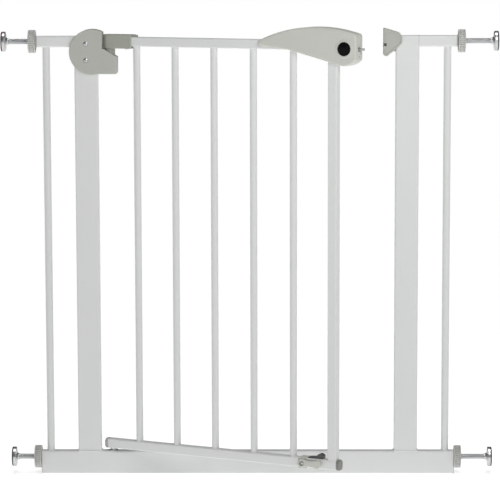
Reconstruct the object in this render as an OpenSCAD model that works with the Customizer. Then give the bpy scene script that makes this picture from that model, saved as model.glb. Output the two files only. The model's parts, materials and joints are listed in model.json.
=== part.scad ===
// Pressure-fitted safety gate: a U-shaped steel frame held between two walls by
// four screw spindles, with a barred door on two hinge pins, a latch handle at
// the free end and a swing stop on the door's bottom rail.
// +X to the right, +Y away from the side the door opens to, +Z up.
// The origin is the middle of the bottom rail's underside.

/* [Frame] */
// Length of the bottom rail, end to end
frame_w = 715; // [640:1:860]
// Height from the floor to the top of the posts
frame_h = 760; // [600:1:920]
// Depth of the frame tubes, front to back
frame_d = 20; // [18:1:26]
// Height of the bottom rail
bottom_rail_h = 40; // [36:1:50]
// Height of the two short top rails
top_rail_h = 19; // [16:1:25]
// Wall of the frame tubes
frame_wall = 1.2; // [1:0.1:2]
// Radius on the long edges of the frame tubes
frame_edge_r = 3; // [2:0.5:5]
// Width of the two posts
post_w = 40; // [34:1:50]
// Distance from a rail end to the outer face of its post
post_inset = 63.5; // [60:0.5:90]
// Diameter of the two round side tubes
side_tube_d = 12.7; // [10:0.1:16]
// Distance from a rail end to the middle of its side tube
side_tube_inset = 15; // [12:0.5:25]

/* [Door] */
// How far the door stands open
door_angle = 25; // [10:1:60]
// Outer size of the door's square tubes
door_tube = 16; // [14:0.5:20]
// Wall of the door's square tubes
door_wall = 1.2; // [1:0.1:2]
// Radius on the long edges of the door's square tubes
door_edge_r = 2; // [1.5:0.5:3]
// Diameter of the door's round bars
bar_d = 12; // [9:0.5:16]
// Wall of the round bars and side tubes
bar_wall = 1; // [0.8:0.1:1.6]
// Distance from the hinge axis to the first bar
first_bar_u = 52; // [48:1:64]
// Distance from the left post to the hinge axis
hinge_reach = 20.5; // [19:0.5:24]
// Gap between the bottom rail and the underside of the door
door_floor_gap = 5; // [4:0.5:12]
// How far the top of the door lies below the top of the posts
door_drop = 1; // [0:0.5:4]

/* [Hinges] */
// Diameter of both hinge pins
pin_d = 10; // [8:0.5:11]
// Length of the upper hinge pin
upper_pin_len = 48; // [44:1:54]
// Radius of the round part of the hinge housing
housing_r = 38.5; // [37:0.5:42]
// Depth of the hinge housing, front to back
housing_d = 32; // [30:1:40]
// Width of the slot between the housing and the hinge arm
housing_slot = 4.5; // [4:0.1:6]
// How far the hinge housing's block hangs below the top of the posts
housing_drop = 65; // [62:1:72]
// Depth of the hinge arm, front to back
arm_d = 22; // [21:0.5:24]
// Height of the hinge arm
arm_h = 24; // [22:0.5:26]
// Length of the hinge arm beyond the hinge axis
arm_len = 46; // [44:0.5:47]
// Diameter of the arm's round foot, which turns in the housing
arm_foot_d = 18; // [16:0.5:19]

/* [Latch] */
// How far the catch stands out from the right post
catch_w = 21; // [18:0.5:26]
// Depth of the catch, front to back
catch_d = 32; // [28:1:36]
// Gap between the handle's end and the catch
handle_gap = 3.5; // [2.5:0.1:5]
// Distance from the middle of the door's end post to the handle's end
handle_nose = 45; // [43:0.5:55]
// Length of the handle
handle_len = 177; // [150:1:200]
// Depth of the handle, front to back
handle_d = 30; // [28:1:36]
// Height of the handle's crest above the door's top rail
handle_rise = 22; // [18:0.5:26]
// Radius of the handle's curved top
handle_top_r = 237; // [200:1:300]
// Radius of the round lobe around the button
handle_lobe_r = 29; // [26:0.5:32]
// Diameter of the button
button_d = 21.6; // [18:0.1:24]
// How far the button can be pressed
button_press = 6; // [4:0.5:6]
// How far the tongue still comes out of its resting place
tongue_more = 4; // [3:0.5:4]
// How far the tongue stands out at rest
tongue_out = 8; // [7:0.5:9]
// Height of the tongue
tongue_h = 4; // [3:0.5:5]
// Depth of the tongue, front to back
tongue_d = 8; // [6:0.5:9]

/* [Wall spindles] */
// Diameter of the wheel nuts
wheel_d = 40; // [34:1:44]
// Thickness of the wheel nuts
wheel_t = 12; // [10:0.5:16]
// Diameter of the threaded spindles
spindle_d = 9.8; // [8:0.1:10]
// Length of the threaded spindles, without their discs
spindle_len = 97; // [90:1:97]
// Diameter of the rubber wall pads
pad_d = 34; // [30:1:44]
// Thickness of the rubber wall pads
pad_t = 4.5; // [3:0.5:8]
// Thickness of the steel disc behind each pad
disc_t = 4; // [3:0.5:6]
// Bare spindle between the top left nut and its disc
out_top_left = 38; // [24:1:58]
// Bare spindle between the bottom left nut and its disc
out_bottom_left = 31; // [24:1:58]
// Bare spindle between the top right nut and its disc
out_top_right = 48; // [24:1:58]
// Bare spindle between the bottom right nut and its disc
out_bottom_right = 45; // [24:1:58]
// Flange of the plugs in the top rails
top_plug_flange = 3; // [1:0.5:5]
// Flange of the plugs in the bottom rail
bottom_plug_flange = 1; // [1:0.5:5]

/* [Swing stop] */
// Distance from the middle of the end post back to the stop's pivot
stop_back = 52; // [50:1:60]
// Length of the stop lever between the middles of its two ends
stop_len = 28; // [24:1:34]
// Thickness of the stop lever
stop_t = 5; // [4:0.5:8]

/* [Hidden] */
$fn = 64;

// Clearances
shell_fit = 0.2;
running_fit = 0.06;
sliding_fit = 0.3;
cut = 1;

// Colours
paint = [0.84, 0.85, 0.84];
warm_grey = [0.64, 0.65, 0.62];
arm_grey = [0.60, 0.61, 0.58];
handle_grey = [0.74, 0.74, 0.71];
wheel_grey = [0.76, 0.76, 0.75];
dark_grey = [0.36, 0.37, 0.37];
steel = [0.72, 0.73, 0.74];
black = [0.04, 0.04, 0.04];

// Frame, worked out
rail_end = frame_w / 2;
post_out = rail_end - post_inset;
post_in = post_out - post_w;
post_mid = post_out - post_w / 2;
side_tube_x = rail_end - side_tube_inset;
top_rail_z = frame_h - top_rail_h;

// Door, worked out: u runs along the door from the hinge axis, v through it
axis_x = hinge_reach - post_in;
door_z = bottom_rail_h + door_floor_gap;
door_top = frame_h - door_drop;
door_rail_z = door_top - door_tube;
door_mid_z = door_top - door_tube / 2;
catch_x = post_in - catch_w;
handle_end = catch_x - axis_x - handle_gap;
end_post_u = handle_end - handle_nose;
rail_right_u = end_post_u + door_tube / 2;
bar_count = 5;
bar_pitch = (end_post_u - first_bar_u) / bar_count;
function bar_u(k) = first_bar_u + (k - 1) * bar_pitch;
pin_r = pin_d / 2;
rail_left_u = -pin_r - 2;

// Hinges, worked out
housing_x = -post_mid + 10;
housing_z = frame_h - 27;
housing_bottom = frame_h - housing_drop;
arm_r = arm_d / 2;
arm_z = door_mid_z - arm_h / 2;
arm_rail_u = arm_r + 1.5;
slot_right = axis_x - arm_r;
slot_left = slot_right - housing_slot;
arm_screw_u = arm_len - 13;
arm_screw_r = 1.5;
foot_r = arm_foot_d / 2;
foot_len = 11;
foot_z = arm_z - foot_len;
well_r = foot_r + sliding_fit;
block_right = axis_x + foot_r + 4;
upper_pin_z = foot_z + 25 - upper_pin_len;
housing_screw_x = -post_mid;
housing_screw_z = [frame_h - 13, frame_h - 41];
housing_screw_r = 2;
screw_head_r = 3.8;
screw_head_t = 2.4;
lower_bush_len = 22;
lower_bush_wall = 2.5;
lower_bush_flange_r = pin_r + 3;
lower_bush_flange_t = 1.5;
lower_pin_z = bottom_rail_h - lower_bush_len - 2;
lower_pin_top = door_z + door_tube - door_wall - 1;

// Latch, worked out
lobe_u = handle_end - 22;
lobe_z = door_top - 12;
crest_u = handle_end - 73;
button_u = handle_end - 21;
button_z = door_top - 13;
button_r = button_d / 2;
button_back_v = -9;
button_front_v = -handle_d / 2 - 2.5;
tongue_z = door_top - 14;
carriage_left_u = rail_right_u + button_press + 1;
carriage_front_v = -2.5;
carriage_back_v = 6;
wedge_reach = 13;
wedge_right = 3.5;
wedge_h = 6;
wedge_tip_v = button_back_v + wedge_reach;
window_right_u = button_u + wedge_right + button_press + 0.5;
carriage_right_u = window_right_u + 4;
carriage_low_z = tongue_z - 5;
carriage_top_z = door_mid_z + 6;
spring_r = 4;
spring_wire = 0.8;
spring_turns = 9;
spring_left_u = carriage_left_u - 28;
handle_screw_r = 1.8;
handle_screw_u = [handle_end - 160, spring_left_u - handle_screw_r - spring_wire];

// Catch, worked out
catch_top = frame_h + 13;
catch_bottom = frame_h - 35;
catch_lap = 10.5;
catch_pocket_deep = tongue_out + tongue_more - handle_gap + 1;
catch_pocket_open = tongue_out - handle_gap + 0.7;
catch_pocket_half = tongue_d / 2 + 0.6;
catch_pocket_h = tongue_h + 4;
catch_screw_z = [frame_h - 4, frame_h - 26];
catch_screw_r = 1.9;

// Spindles, worked out
top_spindle_z = top_rail_z + top_rail_h / 2;
bottom_spindle_z = bottom_rail_h - 11;
spindle_r = spindle_d / 2;
plug_depth = 20;

// Swing stop, worked out
stop_u = end_post_u - stop_back;
stop_z = door_z + door_tube / 2;
stop_r = door_tube / 2;
stop_clip_t = frame_d / 2 - door_tube / 2 + 0.2;
stop_screw_r = 2;

// ---------- shared shapes ----------

// A rectangle with round corners, centred
module round_rect(w, h, r) {
    square([w - 2 * r, h], center = true);
    square([w, h - 2 * r], center = true);
    for (sx = [-1, 1])
        for (sy = [-1, 1])
            translate([sx * (w / 2 - r), sy * (h / 2 - r)])
                circle(r);
}

// The section of a rectangular tube
module tube_section(w, h, wall, r) {
    difference() {
        round_rect(w, h, r);
        round_rect(w - 2 * wall, h - 2 * wall, r - wall / 2);
    }
}

// A rectangular tube along +X from x = 0, its section h high and d deep
module tube_x(len, d, h, wall, r) {
    rotate([90, 0, 90])
        linear_extrude(len)
            tube_section(d, h, wall, r);
}

// A round tube standing on z = 0
module round_tube(len, d, wall) {
    difference() {
        cylinder(h = len, d = d);
        translate([0, 0, -cut])
            cylinder(h = len + 2 * cut, d = d - 2 * wall);
    }
}

// Puts children, drawn along the closed door, where the door stands
module on_door() {
    translate([axis_x, 0, 0])
        rotate([0, 0, -door_angle])
            children();
}

// A rod along +Y from v0 to v1
module rod_v(v0, v1, r) {
    translate([0, v0, 0])
        rotate([-90, 0, 0])
            cylinder(h = v1 - v0, r = r);
}

// A pan-head screw pointing along +Y, its head's underside at y = 0
module screw_v(len, r) {
    rod_v(-0.01, len, r);
    difference() {
        rod_v(-screw_head_t, 0, screw_head_r);
        translate([0, -screw_head_t, 0])
            for (turn = [0, 90])
                rotate([0, turn, 0])
                    cube([4.4, 2.4, 0.9], center = true);
    }
}

// ---------- frame ----------

module frame_bottom_rail() {
    color(paint)
        difference() {
            translate([-rail_end, 0, bottom_rail_h / 2])
                tube_x(frame_w, frame_d, bottom_rail_h, frame_wall, frame_edge_r);
            translate([axis_x, 0, bottom_rail_h - 2 * frame_wall])
                cylinder(h = 3 * frame_wall, r = pin_r + lower_bush_wall);
        }
}

// One post, its middle at x = 0
module post() {
    translate([0, 0, bottom_rail_h])
        difference() {
            linear_extrude(frame_h - bottom_rail_h)
                round_rect(post_w, frame_d, frame_edge_r);
            translate([0, 0, -cut])
                linear_extrude(frame_h - bottom_rail_h - frame_wall + cut)
                    round_rect(post_w - 2 * frame_wall, frame_d - 2 * frame_wall,
                               frame_edge_r - frame_wall / 2);
        }
}

module left_post() {
    color(paint)
        difference() {
            translate([-post_mid, 0, 0])
                post();
            for (z = housing_screw_z)
                translate([housing_screw_x, 0, z])
                    rod_v(-frame_d, frame_d, housing_screw_r + shell_fit);
        }
}

module right_post() {
    color(paint)
        difference() {
            translate([post_mid, 0, 0])
                post();
            for (z = catch_screw_z)
                translate([post_in - cut, 0, z])
                    rotate([0, 90, 0])
                        cylinder(h = 2 * frame_wall + cut, r = catch_screw_r + shell_fit);
        }
}

// One short top rail, from its post outwards
module top_rail() {
    translate([post_out, 0, top_rail_z + top_rail_h / 2])
        tube_x(post_inset, frame_d, top_rail_h, frame_wall, frame_edge_r);
}

module left_top_rail() {
    color(paint)
        mirror([1, 0, 0])
            top_rail();
}

module right_top_rail() {
    color(paint)
        top_rail();
}

module side_tube() {
    translate([side_tube_x, 0, bottom_rail_h])
        round_tube(top_rail_z - bottom_rail_h, side_tube_d, bar_wall);
}

module left_side_tube() {
    color(paint)
        mirror([1, 0, 0])
            side_tube();
}

module right_side_tube() {
    color(paint)
        side_tube();
}

// ---------- wall spindles, drawn on the right and mirrored to the left ----------

// The plug in a rail end, with its guide hole for the spindle
module plug(z, rail_z, rail_h, flange) {
    inner_r = frame_edge_r - frame_wall / 2;
    color(warm_grey)
        difference() {
            union() {
                translate([rail_end, 0, rail_z + rail_h / 2])
                    rotate([90, 0, 90])
                        linear_extrude(flange)
                            round_rect(frame_d, rail_h, frame_edge_r);
                translate([rail_end - plug_depth, 0, rail_z + rail_h / 2])
                    rotate([90, 0, 90])
                        linear_extrude(plug_depth)
                            round_rect(frame_d - 2 * frame_wall, rail_h - 2 * frame_wall, inner_r);
            }
            translate([rail_end - plug_depth - cut, 0, z])
                rotate([0, 90, 0])
                    cylinder(h = plug_depth + flange + 2 * cut, r = spindle_r + sliding_fit);
        }
}

// A hand wheel with a threaded bore and finger grooves round its rim
module wheel(z, flange) {
    grooves = 24;
    groove_r = 1.5;
    color(wheel_grey)
        translate([rail_end + flange, 0, z])
            rotate([0, 90, 0])
                difference() {
                    cylinder(h = wheel_t, d = wheel_d);
                    translate([0, 0, -cut])
                        cylinder(h = wheel_t + 2 * cut, r = spindle_r + running_fit);
                    for (k = [0 : grooves - 1])
                        rotate([0, 0, k * 360 / grooves])
                            translate([wheel_d / 2 + groove_r / 2, 0, -cut])
                                cylinder(h = wheel_t + 2 * cut, r = groove_r, $fn = 24);
                }
}

// The threaded spindle with its flared disc
module spindle(z, flange, out) {
    x = rail_end + flange + wheel_t + out;
    color(steel)
        translate([x, 0, z])
            rotate([0, 90, 0]) {
                translate([0, 0, -spindle_len])
                    cylinder(h = spindle_len + disc_t / 2, r = spindle_r);
                cylinder(h = disc_t, d1 = pad_d * 0.45, d2 = pad_d - 2);
            }
}

module pad(z, flange, out) {
    x = rail_end + flange + wheel_t + out + disc_t;
    color(dark_grey)
        translate([x, 0, z])
            rotate([0, 90, 0])
                cylinder(h = pad_t, d = pad_d);
}

module on_left() {
    mirror([1, 0, 0])
        children();
}

module plug_top_right() { plug(top_spindle_z, top_rail_z, top_rail_h, top_plug_flange); }
module plug_top_left() { on_left() plug_top_right(); }
module plug_bottom_right() { plug(bottom_spindle_z, 0, bottom_rail_h, bottom_plug_flange); }
module plug_bottom_left() { on_left() plug_bottom_right(); }
module wheel_top_right() { wheel(top_spindle_z, top_plug_flange); }
module wheel_top_left() { on_left() wheel_top_right(); }
module wheel_bottom_right() { wheel(bottom_spindle_z, bottom_plug_flange); }
module wheel_bottom_left() { on_left() wheel_bottom_right(); }
module spindle_top_right() { spindle(top_spindle_z, top_plug_flange, out_top_right); }
module spindle_top_left() { on_left() spindle(top_spindle_z, top_plug_flange, out_top_left); }
module spindle_bottom_right() { spindle(bottom_spindle_z, bottom_plug_flange, out_bottom_right); }
module spindle_bottom_left() { on_left() spindle(bottom_spindle_z, bottom_plug_flange, out_bottom_left); }
module pad_top_right() { pad(top_spindle_z, top_plug_flange, out_top_right); }
module pad_top_left() { on_left() pad(top_spindle_z, top_plug_flange, out_top_left); }
module pad_bottom_right() { pad(bottom_spindle_z, bottom_plug_flange, out_bottom_right); }
module pad_bottom_left() { on_left() pad(bottom_spindle_z, bottom_plug_flange, out_bottom_left); }

// ---------- hinge at the top of the left post ----------

// The housing's front outline, in x and z: a disc cut away for the arm, and the
// block under the arm with its sloping top
module housing_outline() {
    slope_left = arm_z - 0.5;
    slope_right = arm_z - 14.5;
    difference() {
        translate([housing_x, housing_z])
            circle(housing_r, $fn = 96);
        translate([slot_left, slope_left])
            square([2 * housing_r, 2 * housing_r]);
    }
    polygon([
        [housing_x, housing_bottom + 0.5],
        [block_right - 1.5, housing_bottom + 0.5],
        [block_right, housing_bottom + 2],
        [block_right, slope_right],
        [slot_right, slope_left],
        [housing_x, slope_left]
    ]);
}

// Everything the two housing halves close around
module housing_hollows() {
    post_cut = post_w + 2 * shell_fit;
    depth_cut = frame_d + 2 * shell_fit;
    translate([-post_mid - post_cut / 2, -depth_cut / 2, 0])
        cube([post_cut, depth_cut, frame_h + shell_fit]);
    translate([-rail_end, -depth_cut / 2, top_rail_z - shell_fit])
        cube([post_inset, depth_cut, top_rail_h + 2 * shell_fit]);
    translate([axis_x, 0, foot_z - 0.5])
        cylinder(h = housing_r, r = well_r);
    translate([axis_x, 0, upper_pin_z])
        cylinder(h = foot_z - upper_pin_z, r = pin_r);
}

// One half between y0 and y1
module housing_half(y0, y1) {
    difference() {
        translate([0, y1, 0])
            rotate([90, 0, 0])
                linear_extrude(y1 - y0)
                    housing_outline();
        housing_hollows();
        for (z = housing_screw_z)
            translate([housing_screw_x, 0, z])
                rod_v(-housing_d, housing_d / 2 - 2, housing_screw_r + shell_fit / 2);
    }
}

module hinge_housing_front() {
    color(warm_grey)
        difference() {
            housing_half(-housing_d / 2, 0);
            for (z = housing_screw_z)
                translate([housing_screw_x, 0, z])
                    rod_v(-housing_d, -housing_d / 2 + screw_head_t, screw_head_r + shell_fit);
        }
}

module hinge_housing_rear() {
    color(warm_grey)
        housing_half(0, housing_d / 2);
}

module hinge_housing_screws() {
    color(steel)
        for (z = housing_screw_z)
            translate([housing_screw_x, -housing_d / 2 + screw_head_t, z])
                screw_v(housing_d - screw_head_t - 4, housing_screw_r);
}

module upper_hinge_pin() {
    color(steel)
        translate([axis_x, 0, upper_pin_z])
            cylinder(h = upper_pin_len, r = pin_r);
}

// The sleeve on the door's top rail that turns on the upper pin
module hinge_arm() {
    tab_len = 7;
    tab_t = 3;
    rail_cut = door_tube + 2 * shell_fit;
    color(arm_grey)
        on_door()
            difference() {
                union() {
                    translate([0, 0, arm_z])
                        cylinder(h = arm_h, r = arm_r);
                    translate([0, -arm_r, arm_z])
                        cube([arm_len, arm_d, arm_h]);
                    translate([0, 0, foot_z])
                        cylinder(h = foot_len + 1, r = foot_r);
                    translate([arm_len - 1, -5, door_top + shell_fit])
                        cube([tab_len + 1, 10, tab_t]);
                }
                translate([arm_rail_u, -rail_cut / 2, door_rail_z - shell_fit])
                    cube([arm_len, rail_cut, rail_cut]);
                translate([0, 0, foot_z - cut])
                    cylinder(h = upper_pin_z + upper_pin_len + 1 - foot_z + cut, r = pin_r + running_fit);
                translate([arm_screw_u, 0, arm_z - cut])
                    cylinder(h = arm_h / 2, r = arm_screw_r + shell_fit / 2);
            }
}

module hinge_arm_screw() {
    head_t = 1.6;
    color(steel)
        on_door()
            translate([arm_screw_u, 0, arm_z]) {
                translate([0, 0, -head_t])
                    cylinder(h = head_t, r = 3);
                translate([0, 0, -0.01])
                    cylinder(h = 9, r = arm_screw_r);
            }
}

// ---------- lower hinge ----------

module lower_hinge_bush() {
    color(warm_grey)
        translate([axis_x, 0, bottom_rail_h])
            difference() {
                union() {
                    translate([0, 0, -lower_bush_len])
                        cylinder(h = lower_bush_len + 0.1, r = pin_r + lower_bush_wall);
                    cylinder(h = lower_bush_flange_t, r = lower_bush_flange_r);
                }
                translate([0, 0, -lower_bush_len - cut])
                    cylinder(h = 2 * lower_bush_len, r = pin_r + running_fit);
            }
}

module lower_hinge_pin() {
    color(steel)
        translate([axis_x, 0, lower_pin_z])
            cylinder(h = lower_pin_top - lower_pin_z, r = pin_r);
}

// ---------- door ----------

module door_top_rail() {
    color(paint)
        on_door()
            difference() {
                translate([arm_rail_u, 0, door_mid_z])
                    tube_x(rail_right_u - arm_rail_u, door_tube, door_tube, door_wall, door_edge_r);
                translate([arm_screw_u, 0, door_rail_z - cut])
                    cylinder(h = 2 * door_wall + cut, r = arm_screw_r + shell_fit / 2);
                for (u = handle_screw_u)
                    translate([u, 0, door_mid_z])
                        rod_v(-door_tube, door_tube, handle_screw_r + shell_fit);
            }
}

module door_bottom_rail() {
    color(paint)
        on_door()
            difference() {
                translate([rail_left_u, 0, stop_z])
                    tube_x(rail_right_u - rail_left_u, door_tube, door_tube, door_wall, door_edge_r);
                translate([0, 0, door_z - cut])
                    cylinder(h = 2 * door_wall + cut, r = pin_r + shell_fit);
                translate([stop_u, 0, stop_z])
                    rod_v(-door_tube, door_tube, stop_screw_r + shell_fit);
            }
}

// One round bar between the door's rails, counted from the hinge
module door_bar(k) {
    color(paint)
        on_door()
            translate([bar_u(k), 0, door_z + door_tube])
                round_tube(door_rail_z - door_z - door_tube, bar_d, bar_wall);
}

module door_bar_1() { door_bar(1); }
module door_bar_2() { door_bar(2); }
module door_bar_3() { door_bar(3); }
module door_bar_4() { door_bar(4); }
module door_bar_5() { door_bar(5); }

module door_end_post() {
    color(paint)
        on_door()
            translate([end_post_u, 0, door_z + door_tube])
                linear_extrude(door_rail_z - door_z - door_tube)
                    tube_section(door_tube, door_tube, door_wall, door_edge_r);
}

// The inside of a door tube, for what plugs into it
module door_plug(u0, u1) {
    inner = door_tube - 2 * door_wall;
    translate([u0, 0, stop_z])
        rotate([90, 0, 90])
            linear_extrude(u1 - u0)
                round_rect(inner, inner, door_edge_r - door_wall / 2);
}

// An octagonal cap on a door tube's end
module door_cap_head(u0, u1) {
    corner = 4;
    half = door_tube / 2 + 0.5;
    flat = half - corner;
    translate([u0, 0, stop_z])
        rotate([90, 0, 90])
            linear_extrude(u1 - u0)
                polygon([
                    [-half, -flat], [-flat, -half], [flat, -half], [half, -flat],
                    [half, flat], [flat, half], [-flat, half], [-half, flat]
                ]);
}

module door_cap_left() {
    head_t = 6;
    color(warm_grey)
        on_door()
            difference() {
                union() {
                    door_cap_head(rail_left_u - head_t, rail_left_u);
                    door_plug(rail_left_u - 0.1, pin_r + 8);
                }
                translate([0, 0, door_z - cut])
                    cylinder(h = lower_pin_top - door_z + cut, r = pin_r);
            }
}

module door_cap_right() {
    head_t = 6;
    color(dark_grey)
        on_door() {
            door_cap_head(rail_right_u, rail_right_u + head_t);
            door_plug(rail_right_u - 14, rail_right_u + 0.1);
        }
}

// ---------- handle and latch ----------

// The handle's outline, in u and z: the curved top over the rail, the round
// lobe around the button and the sweep between them
module handle_outline() {
    tip_u = handle_end - handle_len;
    sweep_u = handle_end - 122;
    lobe_low = 250;
    difference() {
        union() {
            intersection() {
                translate([crest_u, door_top + handle_rise - handle_top_r])
                    circle(handle_top_r, $fn = 360);
                polygon([
                    [tip_u, door_top - 10], [sweep_u, door_rail_z], [handle_end, door_rail_z],
                    [handle_end, door_top + 2 * handle_rise], [tip_u, door_top + 2 * handle_rise]
                ]);
            }
            translate([lobe_u, lobe_z])
                circle(handle_lobe_r, $fn = 96);
            polygon([
                [sweep_u, door_rail_z],
                [lobe_u + handle_lobe_r * cos(lobe_low), lobe_z + handle_lobe_r * sin(lobe_low)],
                [lobe_u, lobe_z],
                [lobe_u, door_top],
                [sweep_u, door_top]
            ]);
        }
        translate([handle_end, 0])
            square([handle_len, 2 * frame_h]);
    }
}

// Everything the two handle halves close around
module handle_hollows() {
    tube_cut = door_tube + 2 * shell_fit;
    tongue_cut_h = tongue_h + 2 * sliding_fit;
    tongue_cut_d = tongue_d + 2 * sliding_fit;
    room_front = button_back_v + button_press - 4;
    translate([0, -tube_cut / 2, door_rail_z - shell_fit])
        cube([rail_right_u + shell_fit, tube_cut, tube_cut]);
    translate([end_post_u - tube_cut / 2, -tube_cut / 2, 0])
        cube([tube_cut, tube_cut, door_top]);
    for (k = [bar_count - 1, bar_count])
        translate([bar_u(k), 0, 0])
            cylinder(h = door_rail_z, r = bar_d / 2 + shell_fit);
    translate([rail_right_u, room_front, carriage_low_z - sliding_fit])
        cube([carriage_right_u + tongue_more + 1 - rail_right_u,
              carriage_back_v + sliding_fit - room_front,
              carriage_top_z - carriage_low_z + 2 * sliding_fit]);
    translate([button_u, -tongue_cut_d / 2, tongue_z - tongue_cut_h / 2])
        cube([handle_nose, tongue_cut_d, tongue_cut_h]);
    translate([button_u, 0, button_z])
        rod_v(-handle_d, button_back_v + button_press + sliding_fit, button_r + sliding_fit);
    translate([button_u + wedge_right - wedge_reach - 1, 0, button_z - wedge_h / 2 - sliding_fit])
        cube([wedge_reach + 2, wedge_tip_v + button_press + sliding_fit, wedge_h + 2 * sliding_fit]);
    translate([crest_u - 40, -handle_d / 2 + 3, door_top + 3])
        cube([90, handle_d - 6, handle_rise - 9]);
}

module handle_half(v0, v1) {
    difference() {
        translate([0, v1, 0])
            rotate([90, 0, 0])
                linear_extrude(v1 - v0)
                    handle_outline();
        handle_hollows();
        for (u = handle_screw_u)
            translate([u, 0, door_mid_z])
                rod_v(-handle_d / 2 + 2, handle_d, handle_screw_r + shell_fit / 2);
    }
}

module handle_front() {
    color(handle_grey)
        on_door()
            handle_half(-handle_d / 2, 0);
}

module handle_rear() {
    color(handle_grey)
        on_door()
            difference() {
                handle_half(0, handle_d / 2);
                for (u = handle_screw_u)
                    translate([u, 0, door_mid_z])
                        rod_v(handle_d / 2 - screw_head_t, handle_d, screw_head_r + shell_fit);
            }
}

module handle_screws() {
    color(steel)
        on_door()
            for (u = handle_screw_u)
                translate([u, handle_d / 2 - screw_head_t, door_mid_z])
                    rotate([0, 0, 180])
                        screw_v(handle_d - screw_head_t - 4, handle_screw_r);
}

// The round button with its wedge, which draws the tongue back as it is pressed
module latch_button() {
    dome = 1.2;
    color(black)
        on_door()
            translate([button_u, 0, button_z]) {
                rod_v(button_front_v + dome, button_back_v, button_r);
                rod_v(button_front_v, button_front_v + dome + 0.1, button_r - 2);
                translate([0, 0, -wedge_h / 2])
                    linear_extrude(wedge_h)
                        polygon([
                            [wedge_right - wedge_reach, button_back_v - 0.1],
                            [wedge_right, button_back_v - 0.1],
                            [wedge_right, wedge_tip_v],
                            [wedge_right - wedge_reach, button_back_v]
                        ]);
            }
}

// The spring bolt: a carriage with a window for the wedge, and the tongue
module latch_tongue() {
    gap = 0.45;
    slant_u = button_u + wedge_right - wedge_reach - button_back_v - gap;
    tip = handle_end + tongue_out;
    shoulder_u = button_u + button_r + button_press + sliding_fit;
    bevel = 2;
    color(steel)
        on_door() {
            difference() {
                translate([carriage_left_u, carriage_front_v, carriage_low_z])
                    cube([carriage_right_u - carriage_left_u,
                          carriage_back_v - carriage_front_v,
                          carriage_top_z - carriage_low_z]);
                translate([0, 0, button_z - wedge_h / 2 - sliding_fit])
                    linear_extrude(wedge_h + 2 * sliding_fit)
                        polygon([
                            [slant_u + carriage_front_v - cut, carriage_front_v - cut],
                            [window_right_u, carriage_front_v - cut],
                            [window_right_u, carriage_back_v + cut],
                            [slant_u + carriage_back_v + cut, carriage_back_v + cut]
                        ]);
            }
            translate([0, 0, tongue_z - tongue_h / 2])
                linear_extrude(tongue_h)
                    polygon([
                        [carriage_right_u - 2, carriage_front_v],
                        [shoulder_u, carriage_front_v],
                        [shoulder_u, -tongue_d / 2],
                        [tip - bevel, -tongue_d / 2],
                        [tip, -tongue_d / 2 + bevel],
                        [tip, tongue_d / 2],
                        [carriage_right_u - 2, tongue_d / 2]
                    ]);
        }
}

// The coil that pushes the tongue out, in the open end of the top rail
module latch_spring() {
    sides = 6;
    steps = 14 * spring_turns;
    length = carriage_left_u - spring_left_u - spring_wire;
    function ring(i) = [
        for (s = [0 : sides - 1])
            let (a = i * 360 * spring_turns / steps,
                 r = spring_r + spring_wire / 2 * cos(s * 360 / sides))
            [i * length / steps + spring_wire / 2 * (1 + sin(s * 360 / sides)), r * cos(a), r * sin(a)]
    ];
    rings = [for (i = [0 : steps]) each ring(i)];
    sides_faces = [
        for (i = [0 : steps - 1])
            for (s = [0 : sides - 1])
                [i * sides + s, i * sides + (s + 1) % sides,
                 (i + 1) * sides + (s + 1) % sides, (i + 1) * sides + s]
    ];
    first_face = [for (s = [sides - 1 : -1 : 0]) s];
    last_face = [for (s = [0 : sides - 1]) steps * sides + s];
    color(steel)
        on_door()
            translate([spring_left_u, 0, door_mid_z])
                polyhedron(points = rings, faces = concat(sides_faces, [first_face, last_face]));
}

// ---------- catch on the right post ----------

// The catch's front outline, in x and z
module catch_outline() {
    right = post_in + catch_lap;
    polygon([
        [catch_x, catch_top - 1],
        [catch_x + 1, catch_top],
        [right - 4.5, catch_top - 8],
        [right - 1, catch_top - 11],
        [right, catch_top - 15],
        [right, catch_top - 24],
        [post_in + 2, catch_bottom + 14],
        [catch_x + 6, catch_bottom],
        [catch_x + 3, catch_bottom],
        [catch_x + 1, catch_bottom + 2]
    ]);
}

module catch() {
    color(warm_grey)
        difference() {
            translate([0, catch_d / 2, 0])
                rotate([90, 0, 0])
                    linear_extrude(catch_d)
                        catch_outline();
            translate([post_in - shell_fit, -frame_d / 2 - shell_fit, 0])
                cube([catch_w + catch_lap, frame_d + 2 * shell_fit, frame_h + shell_fit]);
            translate([catch_x - cut, -catch_pocket_half, tongue_z - catch_pocket_h / 2])
                cube([catch_pocket_deep + cut, 2 * catch_pocket_half, catch_pocket_h]);
            translate([catch_x - cut, -catch_d, tongue_z - catch_pocket_h / 2])
                cube([catch_pocket_open + cut, catch_d, catch_pocket_h]);
            for (z = catch_screw_z)
                translate([0, 0, z])
                    rotate([0, 90, 0])
                        cylinder(h = post_in, r = catch_screw_r + shell_fit / 2);
            for (z = catch_screw_z)
                translate([0, 0, z])
                    rotate([0, 90, 0])
                        cylinder(h = catch_x + 8, r = screw_head_r + shell_fit);
        }
}

module catch_screws() {
    seat = catch_x + 8;
    color(steel)
        for (z = catch_screw_z)
            translate([seat, 0, z])
                rotate([0, 0, -90])
                    screw_v(catch_w - 8 + 7, catch_screw_r);
}

// ---------- swing stop on the door's bottom rail ----------

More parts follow.
